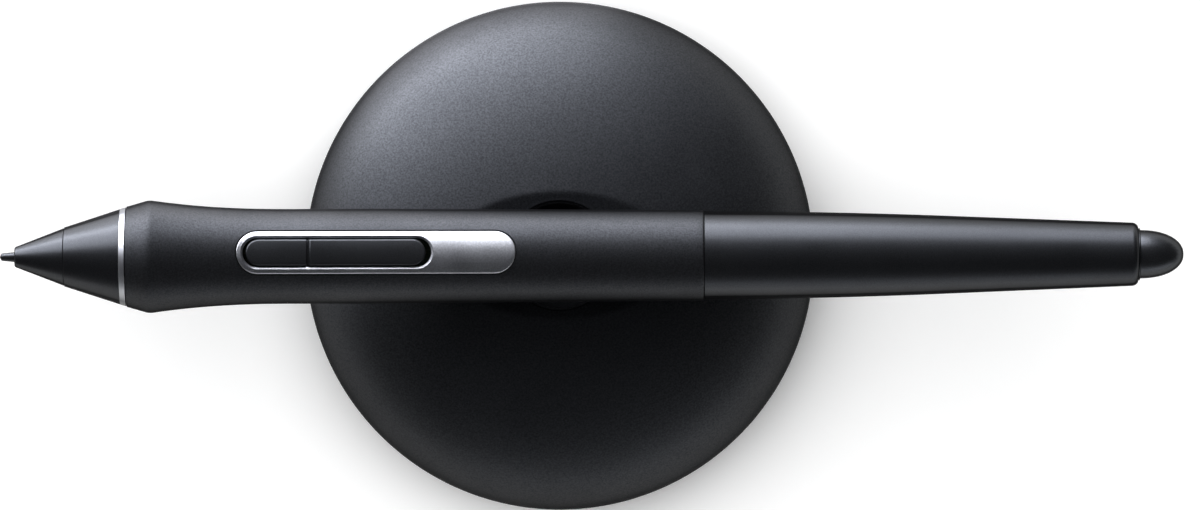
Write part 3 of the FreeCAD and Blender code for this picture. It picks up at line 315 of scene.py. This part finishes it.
def tint(tree, source, dark, light, start=0.3, end=0.7):
    """A colour ramp between two colours, driven by a texture."""
    ramp = tree.nodes.new("ShaderNodeValToRGB")
    ramp.color_ramp.elements[0].position = start
    ramp.color_ramp.elements[1].position = end
    ramp.color_ramp.elements[0].color = (*dark, 1)
    ramp.color_ramp.elements[1].color = (*light, 1)
    tree.links.new(source, ramp.inputs["Fac"])
    return ramp.outputs["Color"]


def combine(tree, operation, first, second):
    """One number from two."""
    node = tree.nodes.new("ShaderNodeMath")
    node.operation = operation
    tree.links.new(first, node.inputs[0])
    tree.links.new(second, node.inputs[1])
    return node.outputs["Value"]


def facing(tree):
    """How far the surface turns away from the viewer: 0 face on, 1 at the rim."""
    slant = tree.nodes.new("ShaderNodeLayerWeight")
    slant.inputs["Blend"].default_value = 0.5
    return slant.outputs["Facing"]


def shades(colour, contrast):
    """A darker and a lighter shade of a colour."""
    return [[channel * (1 + change) for channel in colour] for change in (-contrast, contrast)]


def bump(tree, source, depth_mm):
    """Relief of a real depth from a texture."""
    relief = tree.nodes.new("ShaderNodeBump")
    relief.inputs["Strength"].default_value = 1.0
    relief.inputs["Distance"].default_value = depth_mm * MM
    tree.links.new(source, relief.inputs["Height"])
    return relief.outputs["Normal"]


def moulded(name, colour, roughness, grain, depth, contrast=0.12, specular=0.5,
            fading=(0.38, 0.8), grazing=0.12):
    """Grained plastic or rubber: a fine relief of the given grain and depth in millimetres that
    also speckles tone and gloss, over a slow change of roughness such as handling leaves. Over
    the slants in fading, the gloss falls to the grazing share, since the grain hides it. The
    roughness rises with the slant too."""
    material, tree, shader = node_tree(name)
    shader.inputs["Specular Tint"].default_value = GLOSS_TINT
    slant = facing(tree)
    fine = noise(tree, grain, detail=2.0)
    slow = noise(tree, HANDLED_PATCH, detail=4.0)
    gloss = spread(tree, slant, specular, specular * grazing, *fading)
    speckle = spread(tree, fine, 1 - 2 * contrast, 1 + 2 * contrast)
    worn = spread(tree, slow, roughness - UNEVEN_GLOSS, roughness + UNEVEN_GLOSS)
    blur = spread(tree, slant, 0, GRAZING_BLUR, 0.3, 0.7)
    tree.links.new(combine(tree, "MULTIPLY", gloss, speckle), shader.inputs["Specular IOR Level"])
    tree.links.new(tint(tree, fine, *shades(colour, contrast)), shader.inputs["Base Color"])
    tree.links.new(combine(tree, "ADD", worn, blur), shader.inputs["Roughness"])
    tree.links.new(bump(tree, fine, depth), shader.inputs["Normal"])
    return material


def metal(name, colour, roughness, grain=0.08, depth=0.002, stretch=(1, 1, 1), contrast=0.05,
          painted_rim_shade=1.0):
    """Metal with a fine blasted or drawn surface. Its colour falls to the given share where it
    turns away from the viewer, which paints shade on its rims."""
    material, tree, shader = node_tree(name)
    shader.inputs["Metallic"].default_value = 1.0
    fine = noise(tree, grain, detail=2.0, stretch=stretch)
    slow = noise(tree, POLISHED_PATCH, detail=3.0)
    shade = tree.nodes.new("ShaderNodeVectorMath")
    shade.operation = "SCALE"
    tree.links.new(tint(tree, fine, *shades(colour, contrast)), shade.inputs[0])
    # Painted shade: the colour is scaled down toward the rims, where the surface turns away.
    tree.links.new(spread(tree, facing(tree), 1, painted_rim_shade, 0.3, 0.6), shade.inputs["Scale"])
    tree.links.new(shade.outputs["Vector"], shader.inputs["Base Color"])
    tree.links.new(spread(tree, slow, roughness - UNEVEN_GLOSS, roughness + UNEVEN_GLOSS),
                   shader.inputs["Roughness"])
    tree.links.new(bump(tree, fine, depth), shader.inputs["Normal"])
    return material


def felt(name, colour):
    """Pressed fibres: matte, with a little sheen."""
    material, tree, shader = node_tree(name)
    shader.inputs["Roughness"].default_value = 0.95
    shader.inputs["Sheen Weight"].default_value = 0.3
    fibres = noise(tree, 0.12, detail=5.0, stretch=(0.3, 1, 1))
    dark = [channel * 0.6 for channel in colour]
    tree.links.new(tint(tree, fibres, dark, colour), shader.inputs["Base Color"])
    tree.links.new(bump(tree, fibres, 0.05), shader.inputs["Normal"])
    return material


def winding(name, colour):
    """Fine enamelled wire wound round the pen's axis."""
    material, tree, shader = node_tree(name)
    shader.inputs["Metallic"].default_value = 0.9
    shader.inputs["Roughness"].default_value = 0.3
    place = tree.nodes.new("ShaderNodeTexCoord")
    turns = tree.nodes.new("ShaderNodeTexWave")
    turns.bands_direction = "X"
    turns.inputs["Scale"].default_value = 1 / (WIRE_BAND * MM)
    tree.links.new(place.outputs["Object"], turns.inputs["Vector"])
    dark = [channel * 0.35 for channel in colour]
    tree.links.new(tint(tree, turns.outputs["Fac"], dark, colour, 0.1, 0.8),
                   shader.inputs["Base Color"])
    tree.links.new(bump(tree, turns.outputs["Fac"], 0.05), shader.inputs["Normal"])
    return material


def laminate(name, colour, copper):
    """Circuit board: solder resist over fine traces."""
    material, tree, shader = node_tree(name)
    shader.inputs["Roughness"].default_value = 0.35
    place = tree.nodes.new("ShaderNodeTexCoord")
    cells = tree.nodes.new("ShaderNodeTexBrick")
    cells.inputs["Scale"].default_value = 1 / (BOARD_CELL * MM)
    cells.inputs["Mortar Size"].default_value = 0.03
    cells.inputs["Color1"].default_value = (*colour, 1)
    cells.inputs["Color2"].default_value = (*[channel * 0.8 for channel in colour], 1)
    cells.inputs["Mortar"].default_value = (*copper, 1)
    tree.links.new(place.outputs["Object"], cells.inputs["Vector"])
    tree.links.new(cells.outputs["Color"], shader.inputs["Base Color"])
    tree.links.new(bump(tree, cells.outputs["Fac"], 0.02), shader.inputs["Normal"])
    return material


charcoal = moulded("shell_charcoal", (0.0022, 0.0023, 0.0028), 0.52, grain=0.24, depth=0.009,
                   contrast=0.15, fading=(0.25, 0.72), grazing=0.12)
grip_rubber = moulded("grip_rubber", (0.0045, 0.0046, 0.0053), 0.48, grain=0.22, depth=0.009,
                      contrast=0.15, specular=0.35, fading=(0.36, 0.74), grazing=0.06)
nose_plastic = moulded("nose_plastic", (0.004, 0.0041, 0.0048), 0.33, grain=0.12, depth=0.002,
                       specular=0.4, fading=(0.34, 0.64), grazing=0.03)
barrel_plastic = moulded("barrel_plastic", (0.0035, 0.0036, 0.0042), 0.39, grain=0.12, depth=0.002,
                         specular=0.5, fading=(0.36, 0.62), grazing=0.02)
key_plastic = moulded("key_plastic", (0.0055, 0.0056, 0.0064), 0.36, grain=0.12, depth=0.002)
eraser_plastic = moulded("eraser_plastic", (0.005, 0.0051, 0.0058), 0.36, grain=0.12, depth=0.003,
                         specular=0.8, fading=(0.25, 0.6), grazing=0.03)
nib_plastic = moulded("nib_plastic", (0.006, 0.0061, 0.0066), 0.33, grain=0.1, depth=0.002,
                      fading=(0.34, 0.6), grazing=0.05)
black_steel = metal("black_steel", (0.06, 0.06, 0.065), 0.4)
base_plastic = moulded("base_plastic", (0.014, 0.014, 0.015), 0.5, grain=0.3, depth=0.01)
foot_rubber = moulded("foot_rubber", (0.02, 0.02, 0.021), 0.7, grain=0.3, depth=0.015)
tray_plastic = moulded("tray_plastic", (0.045, 0.046, 0.048), 0.55, grain=0.3, depth=0.01)
cup_plastic = moulded("cup_plastic", (0.01, 0.01, 0.011), 0.5, grain=0.2, depth=0.006)
tube_plastic = moulded("tube_plastic", (0.02, 0.02, 0.021), 0.45, grain=0.2, depth=0.004)
sensor_case = moulded("sensor_case", (0.03, 0.03, 0.033), 0.4, grain=0.2, depth=0.004)
chip_epoxy = moulded("chip_epoxy", (0.012, 0.012, 0.013), 0.5, grain=0.1, depth=0.01)
ceramic = moulded("capacitor_ceramic", (0.3, 0.2, 0.12), 0.4, grain=0.1, depth=0.004)
ferrite = moulded("ferrite_ceramic", (0.03, 0.03, 0.032), 0.35, grain=0.1, depth=0.01)
silicone = moulded("pad_silicone", (0.4, 0.4, 0.38), 0.35, grain=0.3, depth=0.01)
steel = metal("plain_steel", (0.55, 0.55, 0.54), 0.32, grain=0.1, stretch=(1, 0.2, 1))
# At its rims the ring's colour falls to 0.15 of itself: painted rim shade.
ring_metal = metal("ring_metal", (0.52, 0.53, 0.55), 0.4, grain=0.06, depth=0.001, painted_rim_shade=0.15)
plate_metal = metal("plate_metal", (0.54, 0.55, 0.57), 0.4, grain=0.22, depth=0.012,
                    contrast=0.14)
nib_felt = felt("nib_felt", (0.05, 0.05, 0.05))
copper = winding("coil_copper", (0.62, 0.28, 0.13))
board = laminate("board_laminate", (0.003, 0.012, 0.008), (0.03, 0.026, 0.012))

NODE_FINISHES = {
    charcoal: ["stand_shell"], base_plastic: ["base_pan"], foot_rubber: ["foot_pad"],
    steel: ["ballast_ring", "base_screws", "nib_extractor"], black_steel: ["rocker_pin"],
    tray_plastic: ["nib_tray"], cup_plastic: ["well_cup"],
    nib_plastic: ["nib", "spare_nibs_standard"], nib_felt: ["spare_nibs_felt"],
    nose_plastic: ["nose_tip", "nose_cone"], ring_metal: ["accent_ring"],
    grip_rubber: ["grip_sleeve"], plate_metal: ["switch_bezel"],
    key_plastic: ["side_switch_rocker"], barrel_plastic: ["rear_barrel"],
    eraser_plastic: ["eraser_cap"],
    tube_plastic: ["front_tube", "chassis", "nib_holder", "eraser_stem", "eraser_housing"],
    board: ["circuit_board"], chip_epoxy: ["controller_chip"], ceramic: ["tuning_capacitors"],
    sensor_case: ["tact_switch_front", "tact_switch_rear", "tip_sensor", "eraser_sensor"],
    ferrite: ["tip_ferrite", "eraser_ferrite"], copper: ["tip_coil", "eraser_coil"],
    silicone: ["nib_return_pad", "eraser_return_pad"],
}
for finish, node_names in NODE_FINISHES.items():
    for node_name in node_names:
        finished = nodes[node_name].data.materials
        finished.clear()
        finished.append(finish)


def stands_for(piece, node_name, body, material):
    """Puts a detailed piece in the place of its CAD node."""
    piece.data.materials.append(material)
    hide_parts(node_name)
    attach(piece, body)


# Stand shell: a new skin over the inside of its CAD node

def smooth_min(one, other, blend):
    """The lower of two values, rounded over where they cross."""
    share = max(blend - abs(one - other), 0) / blend
    return min(one, other) - share * share * blend / 4


def skin_height(aside, crown):
    """The stand's upper surface: the crown, cut by the trough along X."""
    wall = math.sqrt(TROUGH_RADIUS ** 2 - min(abs(aside), TROUGH_RADIUS - 1) ** 2)
    return smooth_min(crown, TROUGH_FLOOR + TROUGH_RADIUS - wall, TROUGH_BLEND)


def skin_loops():
    """Loops of the shell's skin from the bottom of the well's bore out to the rim."""
    edge = WELL_RADIUS + WELL_EDGE_ROUND
    angles = [TAU * step / SKIN_SEGMENTS for step in range(SKIN_SEGMENTS)]
    loops = [level_loop(WELL_RADIUS, TROUGH_FLOOR - depth, angles)
             for depth in (WELL_DEPTH, 2.0, 1.0, 2 * WELL_EDGE_ROUND)]
    for step in range(9):
        turn = step / 8 * math.pi / 2
        radius = edge - WELL_EDGE_ROUND * math.cos(turn)
        drop = WELL_EDGE_ROUND * (1 - math.sin(turn))
        loops.append([skin_point(radius, a, edge, -drop) for a in angles])
    inner = math.acos(edge / STAND_RADIUS)
    for step in range(1, 161):
        radius = STAND_RADIUS * math.cos(inner * (1 - step / 160))
        loops.append([skin_point(radius, a) for a in angles])
    belt_centre = ((STAND_RADIUS ** 2 - RIM_RADIUS ** 2 - (BELT_HEIGHT - RIM_HEIGHT) ** 2)
                   / (2 * (STAND_RADIUS - RIM_RADIUS)))
    belt_radius = STAND_RADIUS - belt_centre
    end = math.asin((BELT_HEIGHT - RIM_HEIGHT) / belt_radius)
    for step in range(1, 33):
        tilt = end * step / 32
        loops.append(level_loop(belt_centre + belt_radius * math.cos(tilt),
                                BELT_HEIGHT - belt_radius * math.sin(tilt), angles))
    return loops


def level_loop(radius, height, angles):
    """A level circle of points round the stand's axis."""
    return [(radius * math.cos(a), radius * math.sin(a), height) for a in angles]


def skin_point(radius, angle, height_radius=None, rise=0.0):
    """A point of the skin at a radius and angle. The well's rounded edge takes its height from
    a radius just outside it, and a rise over that."""
    reach = height_radius or radius
    share = max(0.0, 1 - (reach / STAND_RADIUS) ** 2)
    crown = BELT_HEIGHT + CROWN_RISE * math.sqrt(share)
    height = skin_height(reach * math.sin(angle), crown) + rise
    return radius * math.cos(angle), radius * math.sin(angle), height


def lies_on_skin(centre):
    """Whether a CAD face's centre lies on the skin that the new mesh makes: in the well, on the
    belt, or on the crown and the trough, which the wall's thickness keeps off the cavity."""
    x, y, z = centre / MM
    radius = math.hypot(x, y)
    if radius < WELL_RADIUS + 0.01:
        return z > TROUGH_FLOOR - WELL_DEPTH + 0.001
    if z < BELT_HEIGHT:
        return radius > RIM_RADIUS + 0.02 and z > RIM_HEIGHT + 0.001
    outward = (radius / STAND_RADIUS) ** 2 + ((z - BELT_HEIGHT) / CROWN_RISE) ** 2
    return outward > 0.97 or z > skin_point(radius, math.atan2(y, x))[2] - 0.5


def shell_piece():
    """The skin, joined to what the CAD node has inside: cavity, collar and lugs."""
    vertices, faces, _ = join_loops(skin_loops())
    skin = new_object("shell_skin", vertices, faces)
    inside = nodes["stand_shell"].data.copy()
    work = bmesh.new()
    work.from_mesh(inside)
    outer = [face for face in work.faces if lies_on_skin(face.calc_center_median())]
    bmesh.ops.delete(work, geom=outer, context="FACES")
    work.to_mesh(inside)
    work.free()
    finish_shading(inside)
    both = bmesh.new()
    both.from_mesh(skin.data)
    both.from_mesh(inside)
    both.to_mesh(skin.data)
    both.free()
    return skin


stands_for(shell_piece(), "stand_shell", "shell", charcoal)


# Pen: pieces turned about its axis

def pen_turned(name, outline, node_name, body, material):
    """A detailed turned piece of the pen in the place of its CAD node."""
    piece = spun(name, outline, place=PEN_PLACE)
    stands_for(piece, node_name, body, material)


# Each corner is (station, radius, rounding)
pen_turned("nose_tip_skin", rounded([
    (TIP_START, TIP_BORE, 0.08), (TIP_SPIGOT_END, TIP_BORE, 0),
    (TIP_SPIGOT_END, TIP_SPIGOT_RADIUS, 0.1), (CONE_START, TIP_SPIGOT_RADIUS, 0),
    (CONE_START, TIP_REAR_RADIUS, 0.1), (TIP_START, TIP_FRONT_RADIUS, 0.4),
]), "nose_tip", "nose", nose_plastic)
pen_turned("nose_cone_skin", rounded([
    (CONE_START, CONE_SOCKET_RADIUS, 0), (CONE_SOCKET_END, CONE_SOCKET_RADIUS, 0),
    (CONE_SOCKET_END, CONE_BORE, 0), (CONE_SPIGOT_END, CONE_BORE, 0),
    (CONE_SPIGOT_END, CONE_SPIGOT_RADIUS, 0.15), (RING_START, CONE_SPIGOT_RADIUS, 0),
    (RING_START, CONE_REAR_RADIUS, 0.06), (CONE_START, CONE_FRONT_RADIUS, 0.1),
]), "nose_cone", "nose", nose_plastic)
pen_turned("accent_ring_skin", rounded([
    (RING_START, RING_BORE, 0), (RING_END, RING_BORE, 0),
    (RING_END, RING_REAR_RADIUS, 0.06), (RING_START, RING_FRONT_RADIUS, 0.06),
]), "accent_ring", "nose", ring_metal)
pen_turned("nib_skin", rounded([
    (NIB_END, 0, 0), (NIB_END, NIB_RADIUS, 0.15), (2.4, NIB_RADIUS, 1.5), (0.2, 0.48, 0.3),
    (0, 0, 0),
]), "nib", "nib_rod", nib_plastic)


def barrel_outline():
    """Rear barrel: a slow curve down to a rounded end, with a thin bead round its mouth, and
    the inside back to the edge at the joint."""
    shell = []
    first, last = BARREL_CURVE_START, END_ROUND_START - JOINT_STATION
    for step in range(33):
        back = first + (last - first) * step / 32
        radius = smooth_min(BARREL_RADIUS - BARREL_SLOPE * back, TAPER_RADIUS - TAPER_SLOPE * back,
                            TAPER_BLEND)
        shell.append((JOINT_STATION + back, radius))
    end_station, end_radius = shell[-1]
    for step in range(1, 13):
        turn = math.pi / 2 * step / 12
        shell.append((end_station + END_ROUND_LENGTH * math.sin(turn),
                      end_radius - END_ROUND_DEPTH * (1 - math.cos(turn))))
    bead = [(BARREL_END - back, BARREL_MOUTH + rise) for back, rise in BARREL_BEAD]
    edge = [(JOINT_STATION, BARREL_RADIUS - BARREL_EDGE),
            (JOINT_STATION + BARREL_EDGE, BARREL_RADIUS)]
    return shell + bead + BARREL_INSIDE + edge


pen_turned("rear_barrel_skin", barrel_outline(), "rear_barrel", "pen",
           barrel_plastic)


def eraser_outline():
    """Eraser: a half egg outside the barrel, and inside it a plug with a socket for the stem."""
    socket = [(ERASER_PLUG_START, ERASER_SOCKET_RADIUS), (ERASER_SOCKET_END, ERASER_SOCKET_RADIUS),
              (ERASER_SOCKET_END, 0.0)]
    dome = [(ERASER_END, 0.0)]
    for step in range(1, 33):
        tilt = math.pi / 2 * step / 32
        dome.append((BARREL_END + (ERASER_END - BARREL_END) * math.cos(tilt) ** ERASER_FULLNESS,
                     ERASER_RADIUS * math.sin(tilt) ** ERASER_FULLNESS))
    return socket + dome + [(ERASER_PLUG_START, ERASER_RADIUS)]


pen_turned("eraser_skin", eraser_outline(), "eraser_cap", "eraser",
           eraser_plastic)


# Pen: the grip and the switch in its side

def barrel_radius(station):
    """The grip's radius by station: a flare up to the crest, a hollow down to the waist, a
    straight part and a slow taper to the joint."""
    if station > STRAIGHT_END:
        share = (station - STRAIGHT_END) / (JOINT_STATION - STRAIGHT_END)
        return GRIP_WAIST_RADIUS + (GRIP_REAR_RADIUS - GRIP_WAIST_RADIUS) * share
    flare = GRIP_FRONT_RADIUS + FLARE_SLOPE * (station - GRIP_START)
    left = max(0.0, (STRAIGHT_START - station) / (STRAIGHT_START - CREST_STATION))
    hollow = GRIP_WAIST_RADIUS + (CREST_RADIUS - GRIP_WAIST_RADIUS) * left ** HOLLOW_POWER
    return smooth_min(flare, hollow, CREST_BLEND)


def capsule_loop(start, length, width, inset=0.0):
    """Points (station, across) round a stadium, drawn in by an inset: for each end in turn its
    round cap, then the side that leads to the other end."""
    half = width / 2 - inset
    front, back = start + width / 2, start + length - width / 2
    loop = []
    for here, there, side in ((front, back, 1), (back, front, -1)):
        for step in range(CAP_STEPS):
            turn = side * math.pi / 2 + math.pi * step / CAP_STEPS
            loop.append((here + half * math.cos(turn), half * math.sin(turn)))
        for step in range(SIDE_STEPS):
            loop.append((here + (there - here) * step / SIDE_STEPS, -side * half))
    return loop


def on_barrel(station, across, rise):
    """A point over the barrel at a height above its surface."""
    radius = barrel_radius(station) + rise
    return station, across, math.sqrt(max(radius * radius - across * across, 0.01))


def on_tube(station, across):
    """A point of the plate's underside, just over the front tube."""
    return station, across, math.sqrt(PLATE_BOTTOM_RADIUS ** 2 - across ** 2)


def grip_piece():
    """Grip sleeve with the plate's opening cut through its side."""
    round_start = JOINT_STATION - GRIP_REAR_ROUND
    outer = [GRIP_START]
    for start, end, steps in ((GRIP_START, HOLLOW_MIDDLE, 80), (HOLLOW_MIDDLE, STRAIGHT_START, 40),
                              (STRAIGHT_START, round_start, 60)):
        outer += [start + (end - start) * step / steps for step in range(1, steps + 1)]
    profile = [(station, barrel_radius(station)) for station in outer]
    for step in range(1, 7):
        turn = math.pi / 2 * step / 6
        profile.append((round_start + GRIP_REAR_ROUND * math.sin(turn),
                        GRIP_REAR_RADIUS - GRIP_REAR_ROUND * (1 - math.cos(turn))))
    profile += [(JOINT_STATION, TUBE_RADIUS), (GRIP_START, TUBE_RADIUS)]
    grip = spun("grip_skin", profile, GRIP_SEGMENTS)
    loop = capsule_loop(PLATE_START, PLATE_LENGTH, PLATE_WIDTH, -PLATE_GAP)
    ends = [[(station, across, height) for station, across in loop] for height in CUTTER_HEIGHTS]
    vertices, faces, rings = join_loops(ends)
    faces += [rings[0][::-1], rings[1]]
    cutter = new_object("plate_cutter", vertices, faces)
    cut = grip.modifiers.new("opening", "BOOLEAN")
    cut.object = cutter
    cut.operation = "DIFFERENCE"
    cut.solver = "EXACT"
    evaluated = grip.evaluated_get(bpy.context.evaluated_depsgraph_get())
    mesh = bpy.data.meshes.new_from_object(evaluated)
    grip.modifiers.clear()
    bpy.data.objects.remove(cutter)
    mesh.transform(PEN_PLACE)
    finish_shading(mesh)
    grip.data = mesh
    return grip


stands_for(grip_piece(), "grip_sleeve", "pen", grip_rubber)


def plate_piece():
    """Switch plate: it follows the barrel, with a rounded outer edge and a chamfer round its
    window, and reaches down to the tube."""
    outline = (PLATE_START, PLATE_LENGTH, PLATE_WIDTH)
    window = (WINDOW_START, WINDOW_LENGTH, WINDOW_WIDTH)
    loops = [[on_tube(s, w) for s, w in capsule_loop(*outline)]]
    loops += [[on_barrel(s, w, PLATE_PROUD - drop) for s, w in capsule_loop(*outline, inset)]
              for inset, drop in edge_profile(PLATE_BEVEL)]
    first = capsule_loop(*outline, PLATE_BEVEL)
    last = capsule_loop(*window)
    for share in (0.06, 0.2, 0.35, 0.5, 0.65, 0.8, 0.94, 1):
        loops.append([on_barrel(s + (s_in - s) * share, w + (w_in - w) * share, PLATE_PROUD)
                      for (s, w), (s_in, w_in) in zip(first, last)])
    lip = capsule_loop(*window, WINDOW_CHAMFER)
    loops.append([on_barrel(s, w, PLATE_PROUD - WINDOW_CHAMFER) for s, w in lip])
    loops.append([on_tube(s, w) for s, w in lip])
    loops.append(loops[0])
    vertices, faces, _ = join_loops(loops)
    return new_object("plate_skin", vertices, faces, PEN_PLACE, PLATE_SHARP_DEGREES)


def edge_profile(size):
    """A quarter round as (inset, drop) from the wall up to the top face."""
    turns = [math.pi / 2 * step / 6 for step in range(7)]
    return [(size * (1 - math.cos(turn)), size * (1 - math.sin(turn))) for turn in turns]


stands_for(plate_piece(), "switch_bezel", "pen", plate_metal)


def groove_drop(offset):
    """How far the key's top lies lower at an offset from its pivot."""
    for (start, first), (end, last) in zip(KEY_GROOVE, KEY_GROOVE[1:]):
        if start <= offset <= end:
            return first + (last - first) * (offset - start) / (end - start)
    return 0.0


def key_piece():
    """Switch key: a crowned bar with round ends and rounded edges, and a notch over its pivot."""
    half = KEY_WIDTH / 2
    front, back = KEY_START + half, KEY_START + KEY_LENGTH - half
    stations = [front - half * math.cos(math.pi / 2 * step / 40) for step in range(41)]
    stations += [front + (back - front) * step / 80 for step in range(1, 81)]
    stations += [back + half * math.sin(math.pi / 2 * step / 40) for step in range(1, 41)]
    stations += [PIVOT_STATION + offset for offset, _ in KEY_GROOVE]
    stations = sorted({round(station, 4) for station in stations})
    shares = [math.sin(math.pi / 2 * step / 24) for step in range(-24, 25)]
    top, low = [], []
    for station in stations:
        beyond = max(front - station, station - back, 0.0)
        reach = math.sqrt(max(half * half - beyond * beyond, 0.0))
        top.append([key_point(station, reach * share, beyond) for share in shares])
        low.append([(station, reach * share, KEY_UNDERSIDE) for share in shares])
    vertices, faces, grids = [], [], []
    for rows in (top, low):
        grid = []
        for row in rows:
            grid.append(list(range(len(vertices), len(vertices) + len(row))))
            vertices += row
        grids.append(grid)
        for row, after in zip(grid, grid[1:]):
            for i in range(len(row) - 1):
                faces.append([row[i], row[i + 1], after[i + 1], after[i]])
    upper, lower = grids
    for i in range(len(stations) - 1):
        for side in (0, -1):
            faces.append([upper[i][side], upper[i + 1][side], lower[i + 1][side], lower[i][side]])
    piece = new_object("key_skin", vertices, faces, PEN_PLACE, KEY_SHARP_DEGREES)
    work = bmesh.new()
    work.from_mesh(piece.data)
    bmesh.ops.remove_doubles(work, verts=work.verts, dist=MERGE_DISTANCE * MM)
    bmesh.ops.recalc_face_normals(work, faces=work.faces)
    work.to_mesh(piece.data)
    work.free()
    finish_shading(piece.data, KEY_SHARP_DEGREES)
    return piece


def key_point(station, across, beyond):
    """A point of the key's top, lowered at its rounded edge and in its notch. It lies beyond
    the straight part by a length, which is 0 along that part."""
    inset = max(KEY_WIDTH / 2 - math.hypot(beyond, across), 0.0)
    drop = 0.0
    if inset < KEY_EDGE:
        drop = KEY_EDGE - math.sqrt(max(KEY_EDGE ** 2 - (KEY_EDGE - inset) ** 2, 0.0))
    drop += groove_drop(station - PIVOT_STATION)
    crown = KEY_CROWN_RADIUS - math.sqrt(KEY_CROWN_RADIUS ** 2 - across ** 2)
    return station, across, KEY_TOP - crown - drop


stands_for(key_piece(), "side_switch_rocker", "rocker", key_plastic)


# Floor, lights and camera, with lengths in metres

FLOOR_SIZE = 6
FLOOR_COLOUR = 0.92
FLOOR_EXPOSURE = 1.25
LIGHT_AIM = Vector((0, 0, 0.02))
CARD_TINT = (0.95, 0.96, 1.04)
FILL_TINT = (0.94, 0.97, 1.04)
TABLE_CARD_PLACE = Vector((-0.09, 0.129, 0.0005))
ROOM_TINT = (0.93, 0.97, 1.04)
ROOM_STRENGTH = 0.02
SENSOR_WIDTH_MM = 36
FOCAL_LENGTH_MM = 316.66
CAMERA_HEIGHT = 1.4
CAMERA_ASIDE = (0.00541, 0.00008)
CAMERA_TURN = math.radians(-0.148)


def floor_material():
    """Plain pale floor, over-exposed where it is seen directly or in a reflection, as in a studio
    shot: the faint shadows fade into white and the contact shadow stays."""
    material, tree, shader = node_tree("floor_white")
    shader.inputs["Roughness"].default_value = 0.9
    shader.inputs["Specular IOR Level"].default_value = 0.0
    path = tree.nodes.new("ShaderNodeLightPath")
    seen = path.outputs["Is Camera Ray"]
    for kind in ("Is Glossy Ray", "Is Transmission Ray"):
        seen = combine(tree, "MAXIMUM", seen, path.outputs[kind])
    tree.links.new(spread(tree, seen, FLOOR_COLOUR, FLOOR_COLOUR * FLOOR_EXPOSURE, 0, 1),
                   shader.inputs["Base Color"])
    return material


def floor():
    """Floor that the stand rests on."""
    bpy.ops.mesh.primitive_plane_add(size=FLOOR_SIZE, location=(0, 0, 0))
    plane = bpy.context.object
    plane.name = "floor"
    plane.data.materials.append(floor_material())


def softbox(name, azimuth, elevation, distance, size, radiance, colour=(1, 1, 1), aim=LIGHT_AIM):
    """Rectangular soft light that faces its aim, at an azimuth and an elevation in degrees."""
    lamp = bpy.data.lights.new(name, "AREA")
    lamp.shape = "RECTANGLE"
    lamp.size, lamp.size_y = size
    lamp.energy = radiance * math.pi * size[0] * size[1]
    lamp.color = colour
    light = bpy.data.objects.new(name, lamp)
    around, up = math.radians(azimuth), math.radians(elevation)
    way = Vector((math.cos(up) * math.cos(around), math.cos(up) * math.sin(around), math.sin(up)))
    light.location = aim + way * distance
    light.rotation_euler = (-way).to_track_quat("-Z", "Y").to_euler()
    bpy.context.scene.collection.objects.link(light)
    return light


def lights():
    """A large overhead light that gives the shade and the shadow, and cards that only show in
    reflections: two make the highlights on the upper left, one the sheen of the lower side,
    and one flat on the floor the rims on the upper left."""
    overhead = softbox("overhead", 120, 70, 2.2, (4.2, 4.2), 2.15)
    overhead.visible_glossy = False
    cards = [softbox("key_card", 117, 23, 1.2, (1.65, 0.95), 9.6, CARD_TINT),
             softbox("key_base", 118, 4.5, 1.1, (1.4, 0.17), 20, CARD_TINT),
             softbox("fill_card", -75, 9, 1.2, (1.8, 0.25), 1.7, FILL_TINT),
             softbox("table_card", 0, -90, 0, (0.2, 0.2), 4, CARD_TINT, TABLE_CARD_PLACE)]
    for card in cards:
        card.visible_camera = False
        card.visible_diffuse = False


def surroundings():
    """Even, dim studio round the object."""
    world = bpy.data.worlds.new("studio")
    world.use_nodes = True
    background = world.node_tree.nodes["Background"]
    background.inputs["Color"].default_value = (*ROOM_TINT, 1)
    background.inputs["Strength"].default_value = ROOM_STRENGTH
    bpy.context.scene.world = world


def camera():
    """Straight above the pen, as in the photograph."""
    lens = bpy.data.cameras.new("camera")
    lens.sensor_width = SENSOR_WIDTH_MM
    lens.lens = FOCAL_LENGTH_MM
    lens.clip_end = 10
    view = bpy.data.objects.new("camera", lens)
    view.location = (*CAMERA_ASIDE, PEN_ORIGIN.z + CAMERA_HEIGHT)
    view.rotation_euler = (0, 0, CAMERA_TURN)
    bpy.context.scene.collection.objects.link(view)
    bpy.context.scene.camera = view


floor()
lights()
surroundings()
camera()
bpy.context.scene.view_settings.view_transform = "Standard"
